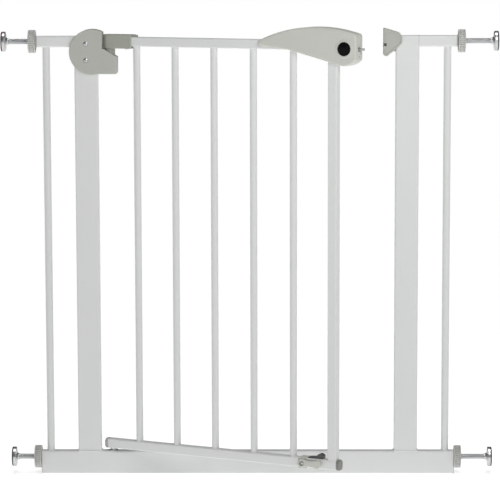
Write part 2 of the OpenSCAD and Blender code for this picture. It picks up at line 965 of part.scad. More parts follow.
// The dark clip around the rail, with its raised top
module stop_clip() {
    left = stop_u - stop_r;
    len = stop_len + 2 * stop_r;
    top_left = stop_u + 6;
    lump_h = 8;
    rail_cut = door_tube + 2 * shell_fit;
    outer = door_tube + 2 * stop_clip_t;
    color(dark_grey)
        on_door()
            difference() {
                union() {
                    translate([left, -outer / 2, door_z - stop_clip_t + 1])
                        cube([2 * stop_r, outer, door_tube + 2 * stop_clip_t - 1]);
                    translate([top_left, 0, door_z + 2])
                        cube([len - stop_r - 8, outer / 2, door_tube + lump_h - 2]);
                    translate([top_left, -door_tube / 2, door_z + door_tube])
                        cube([len - stop_r - 8, door_tube / 2 + 1, lump_h]);
                    translate([stop_u, 0, door_z + 2])
                        cube([10, outer / 2, door_tube - 2]);
                }
                translate([left - cut, -rail_cut / 2, door_z - shell_fit])
                    cube([len + 2 * cut + 20, rail_cut, rail_cut]);
                translate([stop_u, 0, stop_z])
                    rod_v(-frame_d, frame_d, stop_screw_r + shell_fit / 2);
            }
}

// The bone-shaped lever on the front of the rail
module stop_lever() {
    lobe_r = stop_r - 0.5;
    back_v = -(door_tube / 2 + stop_clip_t + sliding_fit);
    color(handle_grey)
        on_door()
            translate([stop_u, back_v, stop_z])
                difference() {
                    union() {
                        rod_v(-stop_t, 0, lobe_r);
                        translate([stop_len, 0, 0])
                            rod_v(-stop_t, 0, lobe_r);
                        translate([0, -stop_t, -lobe_r * 0.7])
                            cube([stop_len, stop_t, lobe_r * 1.4]);
                    }
                    rod_v(-2 * stop_t, cut, stop_screw_r + running_fit);
                    rod_v(-2 * stop_t, -stop_t + screw_head_t + 0.2, screw_head_r + sliding_fit);
                }
}

module stop_screw() {
    color(steel)
        on_door()
            translate([stop_u, -(door_tube / 2 + stop_clip_t + sliding_fit) - stop_t + screw_head_t, stop_z])
                screw_v(stop_t + frame_d - 2, stop_screw_r);
}

// ---------- the model ----------

frame_bottom_rail();
left_post();
right_post();
left_top_rail();
right_top_rail();
left_side_tube();
right_side_tube();
plug_top_left();
plug_bottom_left();
plug_top_right();
plug_bottom_right();
wheel_top_left();
wheel_bottom_left();
wheel_top_right();
wheel_bottom_right();
spindle_top_left();
spindle_bottom_left();
spindle_top_right();
spindle_bottom_right();
pad_top_left();
pad_bottom_left();
pad_top_right();
pad_bottom_right();
hinge_housing_front();
hinge_housing_rear();
hinge_housing_screws();
upper_hinge_pin();
lower_hinge_bush();
catch();
catch_screws();
hinge_arm();
hinge_arm_screw();
door_top_rail();
door_bottom_rail();
door_bar_1();
door_bar_2();
door_bar_3();
door_bar_4();
door_bar_5();
door_end_post();
door_cap_left();
door_cap_right();
lower_hinge_pin();
handle_front();
handle_rear();
handle_screws();
latch_button();
latch_tongue();
latch_spring();
stop_clip();
stop_lever();
stop_screw();
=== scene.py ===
import json
from math import acos, asin, cos, degrees, pi, radians, sin

import bmesh
import bpy
from mathutils import Matrix, Vector


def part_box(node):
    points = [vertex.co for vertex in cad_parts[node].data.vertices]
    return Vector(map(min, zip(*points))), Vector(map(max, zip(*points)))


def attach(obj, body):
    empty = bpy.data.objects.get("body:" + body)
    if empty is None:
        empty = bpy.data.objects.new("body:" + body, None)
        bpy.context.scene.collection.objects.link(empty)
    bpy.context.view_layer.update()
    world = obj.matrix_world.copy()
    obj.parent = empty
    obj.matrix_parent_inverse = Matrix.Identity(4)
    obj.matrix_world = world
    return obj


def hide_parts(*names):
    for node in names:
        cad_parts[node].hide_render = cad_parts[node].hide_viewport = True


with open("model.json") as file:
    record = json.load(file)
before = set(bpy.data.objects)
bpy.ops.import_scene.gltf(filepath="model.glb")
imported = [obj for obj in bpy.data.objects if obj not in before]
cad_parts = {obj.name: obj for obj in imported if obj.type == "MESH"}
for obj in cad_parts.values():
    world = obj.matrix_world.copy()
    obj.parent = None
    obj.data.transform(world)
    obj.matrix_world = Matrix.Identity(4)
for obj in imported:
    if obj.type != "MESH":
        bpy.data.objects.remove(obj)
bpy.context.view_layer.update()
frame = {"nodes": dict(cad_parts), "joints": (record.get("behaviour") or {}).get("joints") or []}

nodes = frame["nodes"]
joints = {joint["name"]: joint for joint in frame["joints"]}
MM = 0.001


# ---- U-frame -------------------------------------------------------------------------------
# Welded from rectangular and round steel tube, then powder coated white in one go: a wide rail
# on the floor, two flat posts, two short top rails and two thin round tubes at the sides.

class Wire:
    """A socket in a node tree. A sum written with wires adds the Math nodes that work it out."""

    def __init__(self, tree, socket=None):
        self.tree = tree
        self.socket = socket

    def node(self, kind, settings=None, sockets=None, out=0):
        """A new node of that kind: its settings first, then the values or wires of its sockets."""
        made = self.tree.nodes.new(kind)
        for name, value in (settings or {}).items():
            if name == "stops":
                for stop, (place, colour) in zip(made.color_ramp.elements, value):
                    stop.position = place
                    stop.color = colour
            else:
                setattr(made, name, value)
        for name, value in (sockets or {}).items():
            if isinstance(value, Wire):
                self.tree.links.new(value.socket, made.inputs[name])
            else:
                made.inputs[name].default_value = value
        return Wire(self.tree, made.outputs[out] if len(made.outputs) else None)

    def other(self, name):
        return Wire(self.tree, self.socket.node.outputs[name])

    def into(self, node, name):
        self.tree.links.new(self.socket, node.inputs[name])

    def math(self, operation, *values):
        return self.node("ShaderNodeMath", {"operation": operation}, dict(enumerate(values)))

    def blend(self, first, second):
        """The first colour where this wire is 0, the second where it is 1."""
        return self.node("ShaderNodeMix", {"data_type": "RGBA"}, {0: self, 6: first, 7: second}, out=2)

    def __add__(self, value):
        return self.math("ADD", self, value)

    __radd__ = __add__

    def __sub__(self, value):
        return self.math("SUBTRACT", self, value)

    def __rsub__(self, value):
        return self.math("SUBTRACT", value, self)

    def __mul__(self, value):
        return self.math("MULTIPLY", self, value)

    __rmul__ = __mul__

    def __truediv__(self, value):
        return self.math("DIVIDE", self, value)

    def __pow__(self, value):
        return self.math("POWER", self, value)


def new_material(name, **fixed):
    """A material with its fixed shader values, its surface node, and the object's own coordinates."""
    material = bpy.data.materials.new(name)
    material.use_nodes = True
    surface = material.node_tree.nodes["Principled BSDF"]
    for socket, value in fixed.items():
        surface.inputs[socket.replace("_", " ")].default_value = value
    where = Wire(material.node_tree).node("ShaderNodeTexCoord", out="Object")
    return material, surface, where


def noise(where, scale, detail=2.0, rough=0.5, seed=0.0):
    return where.node("ShaderNodeTexNoise", {"noise_dimensions": "4D"},
                      {"Vector": where, "W": seed, "Scale": scale, "Detail": detail, "Roughness": rough})


def bump(height, surface, depth, strength=1.0):
    sockets = {"Height": height, "Distance": depth, "Strength": strength}
    height.node("ShaderNodeBump", {}, sockets).into(surface, "Normal")


def shade(colour, factor):
    return tuple(channel * factor for channel in colour) + (1.0,)


def powder_coat():
    """White powder coat: a fine orange peel, barely clouded, dulled a little by hands and mopping."""
    material, surface, where = new_material("white_powder_coat", Specular_IOR_Level=0.5)
    colour = (0.77, 0.785, 0.775)
    peel = noise(where, 620, 1.5)
    cloud = noise(where, 9, 4.0, 0.6, seed=3.0)
    scuffs = noise(where, 75, 6.0, 0.7, seed=7.0)
    cloud.blend(shade(colour, 0.965), shade(colour, 1.02)).into(surface, "Base Color")
    (0.30 + 0.10 * cloud + 0.10 * scuffs ** 3.0).into(surface, "Roughness")
    bump(peel + 0.25 * cloud, surface, 0.05 * MM, 0.55)
    return material


white_coat = powder_coat()


def finish_nodes(material, slot, *names):
    """Gives CAD pieces whose shape is right their finish."""
    for name in names:
        nodes[name].data.materials.clear()
        nodes[name].data.materials.append(material)


FRAME_TUBES = ["frame_bottom_rail", "left_post", "right_post", "left_top_rail", "right_top_rail",
               "left_side_tube", "right_side_tube"]
finish_nodes(white_coat, "white_paint", *FRAME_TUBES)


# ---- weld beads of the U-frame ----------------------------------------------------------------
# Every tube is welded all round where it meets the next one. The coat runs over the bead, so it
# shows as a thin rippled fillet in the corner.

def new_tree(name, sizes):
    """A geometry tree with a mesh of points coming in and named inputs for its sizes."""
    tree = bpy.data.node_groups.new(name, "GeometryNodeTree")
    tree.interface.new_socket(name="Geometry", in_out="INPUT", socket_type="NodeSocketGeometry")
    tree.interface.new_socket(name="Geometry", in_out="OUTPUT", socket_type="NodeSocketGeometry")
    for size, value in sizes.items():
        kinds = {int: "NodeSocketInt", float: "NodeSocketFloat", tuple: "NodeSocketVector"}
        socket = tree.interface.new_socket(name=size, in_out="INPUT", socket_type=kinds[type(value)])
        socket.default_value = value
    tree.interface.new_socket(name="Finish", in_out="INPUT", socket_type="NodeSocketMaterial")
    return Wire(tree).node("NodeGroupInput", out="Geometry")


def end_tree(inlet, shape):
    """Closes a tree: real geometry and not instances, smooth, in its own finish."""
    real = inlet.node("GeometryNodeRealizeInstances", {}, {"Geometry": shape})
    smooth = inlet.node("GeometryNodeSetShadeSmooth", {}, {"Geometry": real})
    done = inlet.node("GeometryNodeSetMaterial", {}, {"Geometry": smooth, "Material": inlet.other("Finish")})
    inlet.node("NodeGroupOutput", {}, {"Geometry": done})
    return inlet.tree


def put_on_points(inlet, shape):
    """The shape on every incoming point, turned by the tree's Turn input."""
    sockets = {"Points": inlet, "Instance": shape, "Rotation": inlet.other("Turn")}
    return inlet.node("GeometryNodeInstanceOnPoints", {}, sockets)


def added(name, data):
    """A new object in the scene."""
    made = bpy.data.objects.new(name, data)
    bpy.context.scene.collection.objects.link(made)
    return made


def worked_out(holder):
    """The plain mesh that an object's modifiers give. The object goes."""
    evaluated = holder.evaluated_get(bpy.context.evaluated_depsgraph_get())
    mesh = bpy.data.meshes.new_from_object(evaluated)
    bpy.data.objects.remove(holder)
    return mesh


def mesh_of(shell, name):
    """A bmesh as a mesh of its own."""
    mesh = bpy.data.meshes.new(name)
    shell.to_mesh(mesh)
    shell.free()
    return mesh


def grown(tree, base, finish, place=Matrix(), **sizes):
    """What a tree grows on a base, a mesh or a list of points, as a plain mesh in the frame's place."""
    if not isinstance(base, bpy.types.Mesh):
        points = base
        base = bpy.data.meshes.new("points")
        base.from_pydata(points, [], [])
    holder = added("grown", base)
    modifier = holder.modifiers.new("tree", "NODES")
    modifier.node_group = tree
    for item in tree.interface.items_tree:
        if item.in_out == "INPUT" and item.name in sizes:
            modifier[item.identifier] = sizes[item.name]
        elif item.in_out == "INPUT" and item.name == "Finish":
            modifier[item.identifier] = finish
    mesh = worked_out(holder)
    mesh.transform(place)
    return mesh


def piece(name, mesh, finish, slot, body, *stands_for):
    """A finished piece: its finish, the body it moves with, and the CAD nodes that it stands for."""
    if not any(mesh.materials):
        mesh.materials.clear()
        mesh.materials.append(finish)
    made = added(name, mesh)
    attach(made, body)
    if stands_for:
        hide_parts(*stands_for)
    return made


def weld_bead_tree():
    """A bead along a rectangle with round corners, or a circle, with a ripple for each pass."""
    inlet = new_tree("weld_bead", {"Width": 0.01, "Depth": 0.01, "Corner": 0.001, "Bead": 0.001,
                                   "Ripples": 30.0, "Turn": (0.0, 0.0, 0.0)})
    path = inlet.node("GeometryNodeCurvePrimitiveQuadrilateral", {},
                      {"Width": inlet.other("Width"), "Height": inlet.other("Depth")})
    path = inlet.node("GeometryNodeFilletCurve", {"mode": "POLY"},
                      {"Curve": path, "Count": 8, "Radius": inlet.other("Corner"), "Limit Radius": True})
    path = inlet.node("GeometryNodeResampleCurve", {}, {"Curve": path, "Count": 180})
    along = inlet.node("GeometryNodeSplineParameter", out="Factor")
    phase = along * inlet.other("Ripples") * (2 * pi)
    ripple = phase.math("SINE", phase)
    path = inlet.node("GeometryNodeSetCurveRadius", {}, {"Curve": path, "Radius": 1.0 + 0.14 * ripple})
    section = inlet.node("GeometryNodeCurvePrimitiveCircle", {},
                         {"Resolution": 8, "Radius": inlet.other("Bead")})
    bead = inlet.node("GeometryNodeCurveToMesh", {}, {"Curve": path, "Profile Curve": section})
    return end_tree(inlet, put_on_points(inlet, bead))


weld_bead = weld_bead_tree()


def middle(name):
    low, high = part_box(name)
    return (low + high) / 2


def joined(*meshes):
    """Several meshes as one."""
    whole = bmesh.new()
    for mesh in meshes:
        whole.from_mesh(mesh)
    result = mesh_of(whole, "joined")
    result.materials.append(meshes[0].materials[0] if meshes[0].materials else None)
    for mesh in meshes:
        bpy.data.meshes.remove(mesh)
    return result


def frame_welds():
    """Beads round both ends of the side tubes, round the feet of the posts, and round the top rails' inner
    ends.
    """
    rail_low, rail_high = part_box("frame_bottom_rail")
    parts = []
    for side in ("left", "right"):
        tube_low, tube_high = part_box(side + "_side_tube")
        across = tube_high.x - tube_low.x
        tube = middle(side + "_side_tube")
        ends = [(tube.x, tube.y, tube_low.z), (tube.x, tube.y, tube_high.z)]
        parts.append(grown(weld_bead, ends, white_coat, Width=across, Depth=across,
                           Corner=across / 2, Bead=1.2 * MM, Ripples=26.0))
        post_low, post_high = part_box(side + "_post")
        post = middle(side + "_post")
        parts.append(grown(weld_bead, [(post.x, post.y, rail_high.z)], white_coat,
                           Width=post_high.x - post_low.x, Depth=post_high.y - post_low.y - 1.2 * MM,
                           Corner=3 * MM, Bead=2.0 * MM, Ripples=58.0))
        top_low, top_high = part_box(side + "_top_rail")
        inner_end = top_high.x if side == "left" else top_low.x
        centre = middle(side + "_top_rail")
        parts.append(grown(weld_bead, [(inner_end, centre.y, centre.z)], white_coat,
                           Width=top_high.z - top_low.z - 1.2 * MM, Depth=top_high.y - top_low.y - 1.2 * MM,
                           Corner=3 * MM, Bead=1.1 * MM, Ripples=44.0, Turn=(0.0, pi / 2, 0.0)))
    return joined(*parts)


piece("frame_weld_beads", frame_welds(), white_coat, "white_paint", "frame")


# ---- rail end plugs ---------------------------------------------------------------------------
# A grey moulded plug is pushed into each open rail end. Its flange closes the tube, its stem
# stands inside, and its bore guides the spindle. The flange's edge is rounded like a collar.

def moulded_plastic(name, colour, gloss=0.5, grain=0.05):
    """Injection-moulded plastic with a spark-eroded grain and faint flow marks."""
    material, surface, where = new_material(name, Specular_IOR_Level=0.45)
    sparks = noise(where, 1900, 2.0, 0.6)
    flow = noise(where, 14, 3.0, 0.55, seed=5.0)
    rub = noise(where, 60, 5.0, 0.7, seed=9.0)
    tone = 0.6 * flow + 0.4 * sparks
    tone.blend(shade(colour, 0.94), shade(colour, 1.05)).into(surface, "Base Color")
    (gloss - 0.06 + 0.12 * flow - 0.10 * rub ** 3.0).into(surface, "Roughness")
    bump(sparks + 0.3 * rub, surface, grain * MM, 0.6)
    return material


grey_plastic = moulded_plastic("grey_plug_plastic", (0.47, 0.48, 0.455), 0.48)


def inset(outline, distance):
    """An outline, counter-clockwise, moved inwards corner by corner."""
    moved = []
    for i, corner in enumerate(outline):
        coming = (corner - outline[i - 1]).normalized()
        going = (outline[(i + 1) % len(outline)] - corner).normalized()
        left = Vector((-coming.y, coming.x))
        middle_way = (left + Vector((-going.y, going.x))).normalized()
        moved.append(corner + middle_way * (distance / max(middle_way.dot(left), 0.4)))
    return moved


def rounded(corners, steps=6):
    """An outline from (across, up, radius) corners, each rounded by an arc of its own radius."""
    outline = []
    for i, (a, b, radius) in enumerate(corners):
        corner = Vector((a, b))
        before = (Vector(corners[i - 1][:2]) - corner).normalized()
        after = (Vector(corners[(i + 1) % len(corners)][:2]) - corner).normalized()
        opening = acos(max(-1.0, min(1.0, before.dot(after))))
        if radius <= 0 or opening > radians(179.5):
            outline.append(corner)
            continue
        reach = radius / sin(opening / 2)
        centre = corner + (before + after).normalized() * reach
        start = corner + before * (radius / (sin(opening / 2) / cos(opening / 2))) - centre
        sweep = pi - opening
        turn = 1 if before.cross(after) < 0 else -1
        for k in range(steps + 1):
            outline.append(centre + Matrix.Rotation(turn * sweep * k / steps, 2) @ start)
    return outline


def skin(rings):
    """A closed solid over rings of points. A ring of one point is a pole."""
    shell = bmesh.new()
    rows = [[shell.verts.new(point) for point in ring] for ring in rings]
    for low, high in zip(rows, rows[1:]):
        count = max(len(low), len(high))
        for i in range(count):
            j = (i + 1) % count
            corners = [low[i % len(low)], low[j % len(low)], high[j % len(high)], high[i % len(high)]]
            shell.faces.new(list(dict.fromkeys(corners)))
    for row in (rows[0], rows[-1]):
        if len(row) > 2:
            shell.faces.new(row)
    bmesh.ops.recalc_face_normals(shell, faces=shell.faces)
    return mesh_of(shell, "skin")


def moulded(outline, profile, place):
    """An outline carried through (inset, height) steps, as the skin of a moulding."""
    return skin([[place @ Vector((*point, height)) for point in inset(outline, step)]
                 for step, height in profile])


def rounded_edge(inner, outer, radius, seam=0.0, steps=5):
    """The (inset, height) steps from a flat inner face to an outer face with a round edge."""
    way = 1 if outer > inner else -1
    arc = [pi / 2 * k / steps for k in range(steps + 1)]
    profile = [(seam, inner)] if seam else []
    return profile + [(0, inner + way * seam)] + [
        (radius * (1 - cos(t)), outer - way * radius * (1 - sin(t))) for t in arc]


def turned(profile, place, sides=48):
    """A solid of revolution about local Z, from (radius, height) steps."""
    rings = []
    for radius, height in profile:
        angles = [2 * pi * k / sides for k in range(sides)] if radius > 0 else [0]
        rings.append([place @ Vector((radius * cos(t), radius * sin(t), height)) for t in angles])
    return skin(rings)


def carved(mesh, *tools, way="DIFFERENCE"):
    """The mesh with the tools cut out of it, or joined to it."""
    holder = added("carved", mesh)
    cutters = [added("cutter", tool) for tool in tools]
    for cutter in cutters:
        step = holder.modifiers.new("cut", "BOOLEAN")
        step.operation = way
        step.solver = "EXACT"
        step.object = cutter
    result = worked_out(holder)
    for cutter in cutters:
        bpy.data.objects.remove(cutter)
    return healed(result)


def healed(mesh):
    """The mesh without the slivers and hairline gaps that cutting can leave."""
    shell = bmesh.new()
    shell.from_mesh(mesh)
    bmesh.ops.remove_doubles(shell, verts=shell.verts, dist=0.004 * MM)
    bmesh.ops.dissolve_degenerate(shell, edges=shell.edges, dist=0.004 * MM)
    gaps = [edge for edge in shell.edges if edge.is_boundary]
    bmesh.ops.holes_fill(shell, edges=gaps, sides=0)
    loose = [edge for edge in shell.edges if not edge.link_faces]
    bmesh.ops.delete(shell, geom=loose, context="EDGES")
    bmesh.ops.recalc_face_normals(shell, faces=shell.faces)
    shell.to_mesh(mesh)
    shell.free()
    return mesh


def block(low, high, place=Matrix()):
    """A plain box, for cutting with."""
    (x0, y0, z0), (x1, y1, z1) = low, high
    ring = [(x0, y0), (x1, y0), (x1, y1), (x0, y1)]
    return skin([[place @ Vector((x, y, z)) for x, y in ring] for z in (z0, z1)])


def aim(point, direction):
    """A place whose local Z points in a direction."""
    return Matrix.Translation(point) @ Vector(direction).to_track_quat("Z", "Y").to_matrix().to_4x4()


def softened(mesh, angle=32):
    """Smooth shading that keeps real corners sharp and flat faces flat."""
    mesh.shade_smooth()
    mesh.set_sharp_from_angle(angle=radians(angle))
    holder = added("softened", mesh)
    holder.modifiers.new("weights", "WEIGHTED_NORMAL").keep_sharp = True
    return worked_out(holder)


FIT = 0.2 * MM


def around(box, place=Matrix(), below=1.0, above=1.0):
    """A block a fit's width larger than a box, for cutting a seat."""
    grow = Vector((FIT, FIT, FIT))
    return block(box[0] - grow * below, box[1] + grow * above, place)


def both_ways(front, back):
    """Two edge profiles from the middle plane, run on as one from the front to the back."""
    return [(step, -height) for step, height in reversed(front)] + back[1:]


UPRIGHT = Matrix(((1, 0, 0, 0), (0, 0, 1, 0), (0, 1, 0, 0), (0, 0, 0, 1)))
ENDWISE = Matrix(((0, 0, 1, 0), (1, 0, 0, 0), (0, 1, 0, 0), (0, 0, 0, 1)))
CORNERS = {"top_left": -1, "bottom_left": -1, "top_right": 1, "bottom_right": 1}


def rail_plug(corner, side):
    """A flange with a rounded edge on the end of its rail, a stem inside, and a chamfered bore."""
    low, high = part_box("plug_" + corner)
    rail = "frame_bottom_rail" if corner.startswith("bottom") else corner.split("_")[1] + "_top_rail"
    rail_low, rail_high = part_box(rail)
    face = rail_high.x if side > 0 else rail_low.x
    outer = high.x if side > 0 else low.x
    outline = rounded([(low.y, low.z, 3 * MM), (high.y, low.z, 3 * MM),
                       (high.y, high.z, 3 * MM), (low.y, high.z, 3 * MM)])
    edge = min(0.9 * MM, abs(outer - face) * 0.6)
    flange = moulded(outline, rounded_edge(face, outer, edge), ENDWISE)
    nut = middle("wheel_" + corner)
    bore = 5.3 * MM
    wall = 1.7 * MM
    inner = low.x if side > 0 else high.x
    start, stop = sorted((inner, face + side * 0.4 * MM))
    stem = block((start, rail_low.y + wall, rail_low.z + wall),
                 (stop, rail_high.y - wall, rail_high.z - wall))
    deep = abs(outer - inner) + 1 * MM
    cutter = turned([(0, -deep), (bore, -deep), (bore, -0.4 * MM), (bore + 0.6 * MM, 0.2 * MM),
                     (bore + 0.6 * MM, 2 * MM), (0, 2 * MM)], aim((outer, nut.y, nut.z), (side, 0, 0)))
    return softened(carved(carved(flange, stem, way="UNION"), cutter))


for corner, side in CORNERS.items():
    piece("plug_flange_" + corner, rail_plug(corner, side), grey_plastic, "grey_plastic", "frame",
          "plug_" + corner)


# ---- wall spindles ----------------------------------------------------------------------------
# Four M10 spindles of zinc-plated steel with a rolled 1.5 mm thread, swaged into a flared disc.
# The disc's rim is turned over the edge of a moulded rubber pad with ribs on its wall side.

def zinc_plate():
    """Bright zinc over rolled steel: faintly clouded, with fine drawing marks."""
    material, surface, where = new_material("zinc_plated_steel", Metallic=1.0)
    cloud = noise(where, 55, 4.0, 0.6)
    drawn = noise(where, 700, 3.0, 0.7, seed=2.0)
    cloud.blend((0.50, 0.515, 0.53, 1.0), (0.66, 0.665, 0.66, 1.0)).into(surface, "Base Color")
    (0.20 + 0.16 * cloud + 0.10 * drawn).into(surface, "Roughness")
    bump(drawn, surface, 0.012 * MM, 0.5)
    return material


def pad_rubber_finish():
    """Dark grey rubber with a matt, slightly dusty skin."""
    material, surface, where = new_material("pad_rubber", Specular_IOR_Level=0.3)
    skin_grain = noise(where, 1400, 3.0, 0.65)
    dust = noise(where, 40, 5.0, 0.6, seed=4.0)
    (dust ** 2.0).blend((0.065, 0.068, 0.068, 1.0), (0.15, 0.152, 0.148, 1.0)).into(surface, "Base Color")
    (0.62 + 0.25 * dust).into(surface, "Roughness")
    bump(skin_grain, surface, 0.06 * MM, 0.6)
    return material


zinc_steel = zinc_plate()
pad_rubber = pad_rubber_finish()


def thread_tree():
    """A threaded rod along local Z: a sheet of points wrapped round, its radius following the helix."""
    inlet = new_tree("rolled_thread", {"Length": 0.1, "Radius": 0.005, "Pitch": 0.0015, "Depth": 0.0009,
                                       "Rings": 500, "Sides": 28})
    length, pitch = inlet.other("Length"), inlet.other("Pitch")
    sheet = inlet.node("GeometryNodeMeshGrid", {}, {
        "Size X": 1.0, "Size Y": 1.0, "Vertices X": inlet.other("Rings"), "Vertices Y": inlet.other("Sides")})
    place = inlet.node("GeometryNodeInputPosition")
    across = place.node("ShaderNodeSeparateXYZ", {}, {"Vector": place}, out="X")
    share, turn = across + 0.5, across.other("Y") + 0.5
    wave = inlet.math("PINGPONG", share * length / pitch - turn, 0.5)
    flank = inlet.math("MINIMUM", inlet.math("MAXIMUM", wave * 2.6 - 0.3, 0.0), 1.0)
    ends = inlet.math("PINGPONG", share, 0.5)
    taper = inlet.math("MINIMUM", ends * 40.0, 1.0)
    closed = inlet.math("GREATER_THAN", ends, 0.0005)
    radius = (inlet.other("Radius") - inlet.other("Depth") * (1.0 - flank * taper)) * closed
    angle = turn * (2 * pi)
    point = place.node("ShaderNodeCombineXYZ", {}, {
        "X": radius * angle.math("COSINE", angle), "Y": radius * angle.math("SINE", angle),
        "Z": share * length})
    rod = inlet.node("GeometryNodeSetPosition", {}, {"Geometry": sheet, "Position": point})
    rod = inlet.node("GeometryNodeMergeByDistance", {}, {"Geometry": rod, "Distance": 0.001 * MM})
    rod = inlet.node("GeometryNodeFlipFaces", {}, {"Mesh": rod})
    return end_tree(inlet, rod)


rolled_thread = thread_tree()


def flared_disc(place, pad_r):
    """The swaged neck, flaring into a cup whose rim holds the pad. Local Z points to the wall."""
    neck = 5.2 * MM
    rim = pad_r - 0.1 * MM
    fillet = [(neck + 4.6 * MM * (1 - cos(t)), -3.4 * MM + 3.8 * MM * sin(t))
              for t in [pi / 2 * k / 8 for k in range(9)]]
    lip = [(rim - 1.8 * MM, 0.9 * MM), (rim - 0.6 * MM, 1.3 * MM), (rim, 2.2 * MM), (rim, 6.0 * MM),
           (rim - 0.3 * MM, 6.4 * MM), (rim - 0.8 * MM, 6.4 * MM), (rim - 1.1 * MM, 6.0 * MM),
           (rim - 1.1 * MM, 4.0 * MM)]
    return turned([(0, -4.4 * MM), (neck - 0.5 * MM, -4.4 * MM), (neck, -4.0 * MM)] + fillet + lip
                  + [(0, 4.0 * MM)], place, 56)


def ribbed_pad(place, pad_r, thick):
    """The rubber pad: a rounded rim, and three rings of ribs on its wall side."""
    face = thick
    groove = 0.8 * MM
    profile = [(0, 0), (pad_r - 1.3 * MM, 0), (pad_r - 1.3 * MM, 2.6 * MM), (pad_r - 0.3 * MM, 2.7 * MM),
               (pad_r - 0.1 * MM, 3.1 * MM), (pad_r - 0.3 * MM, face - 0.6 * MM), (pad_r - 1.0 * MM, face)]
    for ring in (0.78, 0.56, 0.34):
        radius = pad_r * ring
        profile += [(radius + 1.1 * MM, face), (radius + 0.7 * MM, face - groove),
                    (radius - 0.7 * MM, face - groove), (radius - 1.1 * MM, face)]
    return turned(profile + [(2.0 * MM, face), (1.4 * MM, face - groove), (0, face - groove)], place, 56)


def spindle(corner, side):
    """A threaded rod from inside the rail to the disc, and the disc itself."""
    low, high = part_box("spindle_" + corner)
    axis = middle("wheel_" + corner)
    pad_low, pad_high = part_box("pad_" + corner)
    seat = pad_low.x if side > 0 else pad_high.x
    disc_back = seat - side * 4 * MM
    inner = low.x if side > 0 else high.x
    rod_length = abs(disc_back - inner) - 1 * MM
    rod = grown(rolled_thread, [(0, 0, 0)], zinc_steel, aim((inner, axis.y, axis.z), (side, 0, 0)),
                Length=rod_length, Radius=4.9 * MM, Pitch=1.5 * MM, Depth=0.85 * MM,
                Rings=int(rod_length / (0.25 * MM)), Sides=28)
    disc = softened(flared_disc(aim((disc_back, axis.y, axis.z), (side, 0, 0)), 17 * MM), 40)
    disc.materials.append(zinc_steel)
    return joined(rod, disc)


def pad(corner, side):
    low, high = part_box("pad_" + corner)
    back = low.x if side > 0 else high.x
    place = aim((back, middle("pad_" + corner).y, middle("pad_" + corner).z), (side, 0, 0))
    return softened(ribbed_pad(place, (high.z - low.z) / 2, high.x - low.x), 40)


for corner, side in CORNERS.items():
    body = "spindle_" + corner
    piece("threaded_spindle_" + corner, spindle(corner, side), zinc_steel, "zinc_steel", body, body)
    piece("wall_pad_" + corner, pad(corner, side), pad_rubber, "pad_rubber", body, "pad_" + corner)


# ---- wheel nuts -------------------------------------------------------------------------------
# Hand wheels of light grey plastic moulded round a steel nut. The rim is ribbed for the fingers
# between two plain lips, and each side is dished round a raised hub.

wheel_plastic = moulded_plastic("wheel_nut_plastic", (0.60, 0.605, 0.58), 0.42)


def rim_rib_tree():
    """A wheel body with rounded ribs set all round its rim, along local Z."""
    inlet = new_tree("rim_ribs", {"Count": 40, "Rim": 0.019, "Rib": 0.001, "Length": 0.01})
    ring = inlet.node("GeometryNodeMeshCircle", {},
                      {"Vertices": inlet.other("Count"), "Radius": inlet.other("Rim")})
    rib = inlet.node("GeometryNodeMeshUVSphere", {}, {"Segments": 8, "Rings": 6, "Radius": 1.0})
    size = inlet.node("ShaderNodeCombineXYZ", {}, {
        "X": inlet.other("Rib"), "Y": inlet.other("Rib"), "Z": inlet.other("Length") / 2})
    rib = inlet.node("GeometryNodeTransform", {}, {"Geometry": rib, "Scale": size})
    ribs = inlet.node("GeometryNodeInstanceOnPoints", {}, {"Points": ring, "Instance": rib})
    both = inlet.node("GeometryNodeJoinGeometry", {}, {"Geometry": ribs})
    inlet.tree.links.new(inlet.socket, both.socket.node.inputs["Geometry"])
    return end_tree(inlet, both)


rim_ribs = rim_rib_tree()


def wheel_body(radius, thick, bore):
    """The turned body about local Z, from -thick/2 to thick/2: lips, dished sides and a hub."""
    half = thick / 2
    lip = radius - 0.2 * MM
    hub = bore + 3.6 * MM
    side = [(bore, half - 0.5 * MM), (bore + 0.5 * MM, half), (hub - 0.5 * MM, half), (hub, half - 0.4 * MM),
            (hub + 0.6 * MM, half - 1.5 * MM), (lip - 4.2 * MM, half - 1.5 * MM),
            (lip - 3.2 * MM, half - 0.3 * MM), (lip - 2.6 * MM, half), (lip - 1.0 * MM, half),
            (lip - 0.3 * MM, half - 0.3 * MM), (lip, half - 0.9 * MM), (lip, half - 1.4 * MM),
            (lip - 1.9 * MM, half - 2.3 * MM)]
    rings = [(r, -h) for r, h in side] + [(r, h) for r, h in reversed(side)]
    return rings


def ring_solid(profile, place, sides):
    """A turned solid whose profile closes on itself, with a bore through its middle."""
    shell = bmesh.new()
    rows = []
    for radius, height in profile:
        rows.append([shell.verts.new(place @ Vector((radius * cos(t), radius * sin(t), height)))
                     for t in [2 * pi * k / sides for k in range(sides)]])
    for low, high in zip(rows, rows[1:] + rows[:1]):
        for i in range(sides):
            shell.faces.new([low[i], low[(i + 1) % sides], high[(i + 1) % sides], high[i]])
    bmesh.ops.recalc_face_normals(shell, faces=shell.faces)
    return mesh_of(shell, "ring")


def wheel_nut(corner, side):
    low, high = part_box("wheel_" + corner)
    radius = (high.z - low.z) / 2
    body = softened(ring_solid(wheel_body(radius, high.x - low.x, 4.97 * MM), Matrix(), 80), 30)
    body.materials.append(wheel_plastic)
    return grown(rim_ribs, body, wheel_plastic, aim(middle("wheel_" + corner), (side, 0, 0)), Count=34,
                 Rim=radius - 1.45 * MM, Rib=1.3 * MM, Length=high.x - low.x - 2.2 * MM)


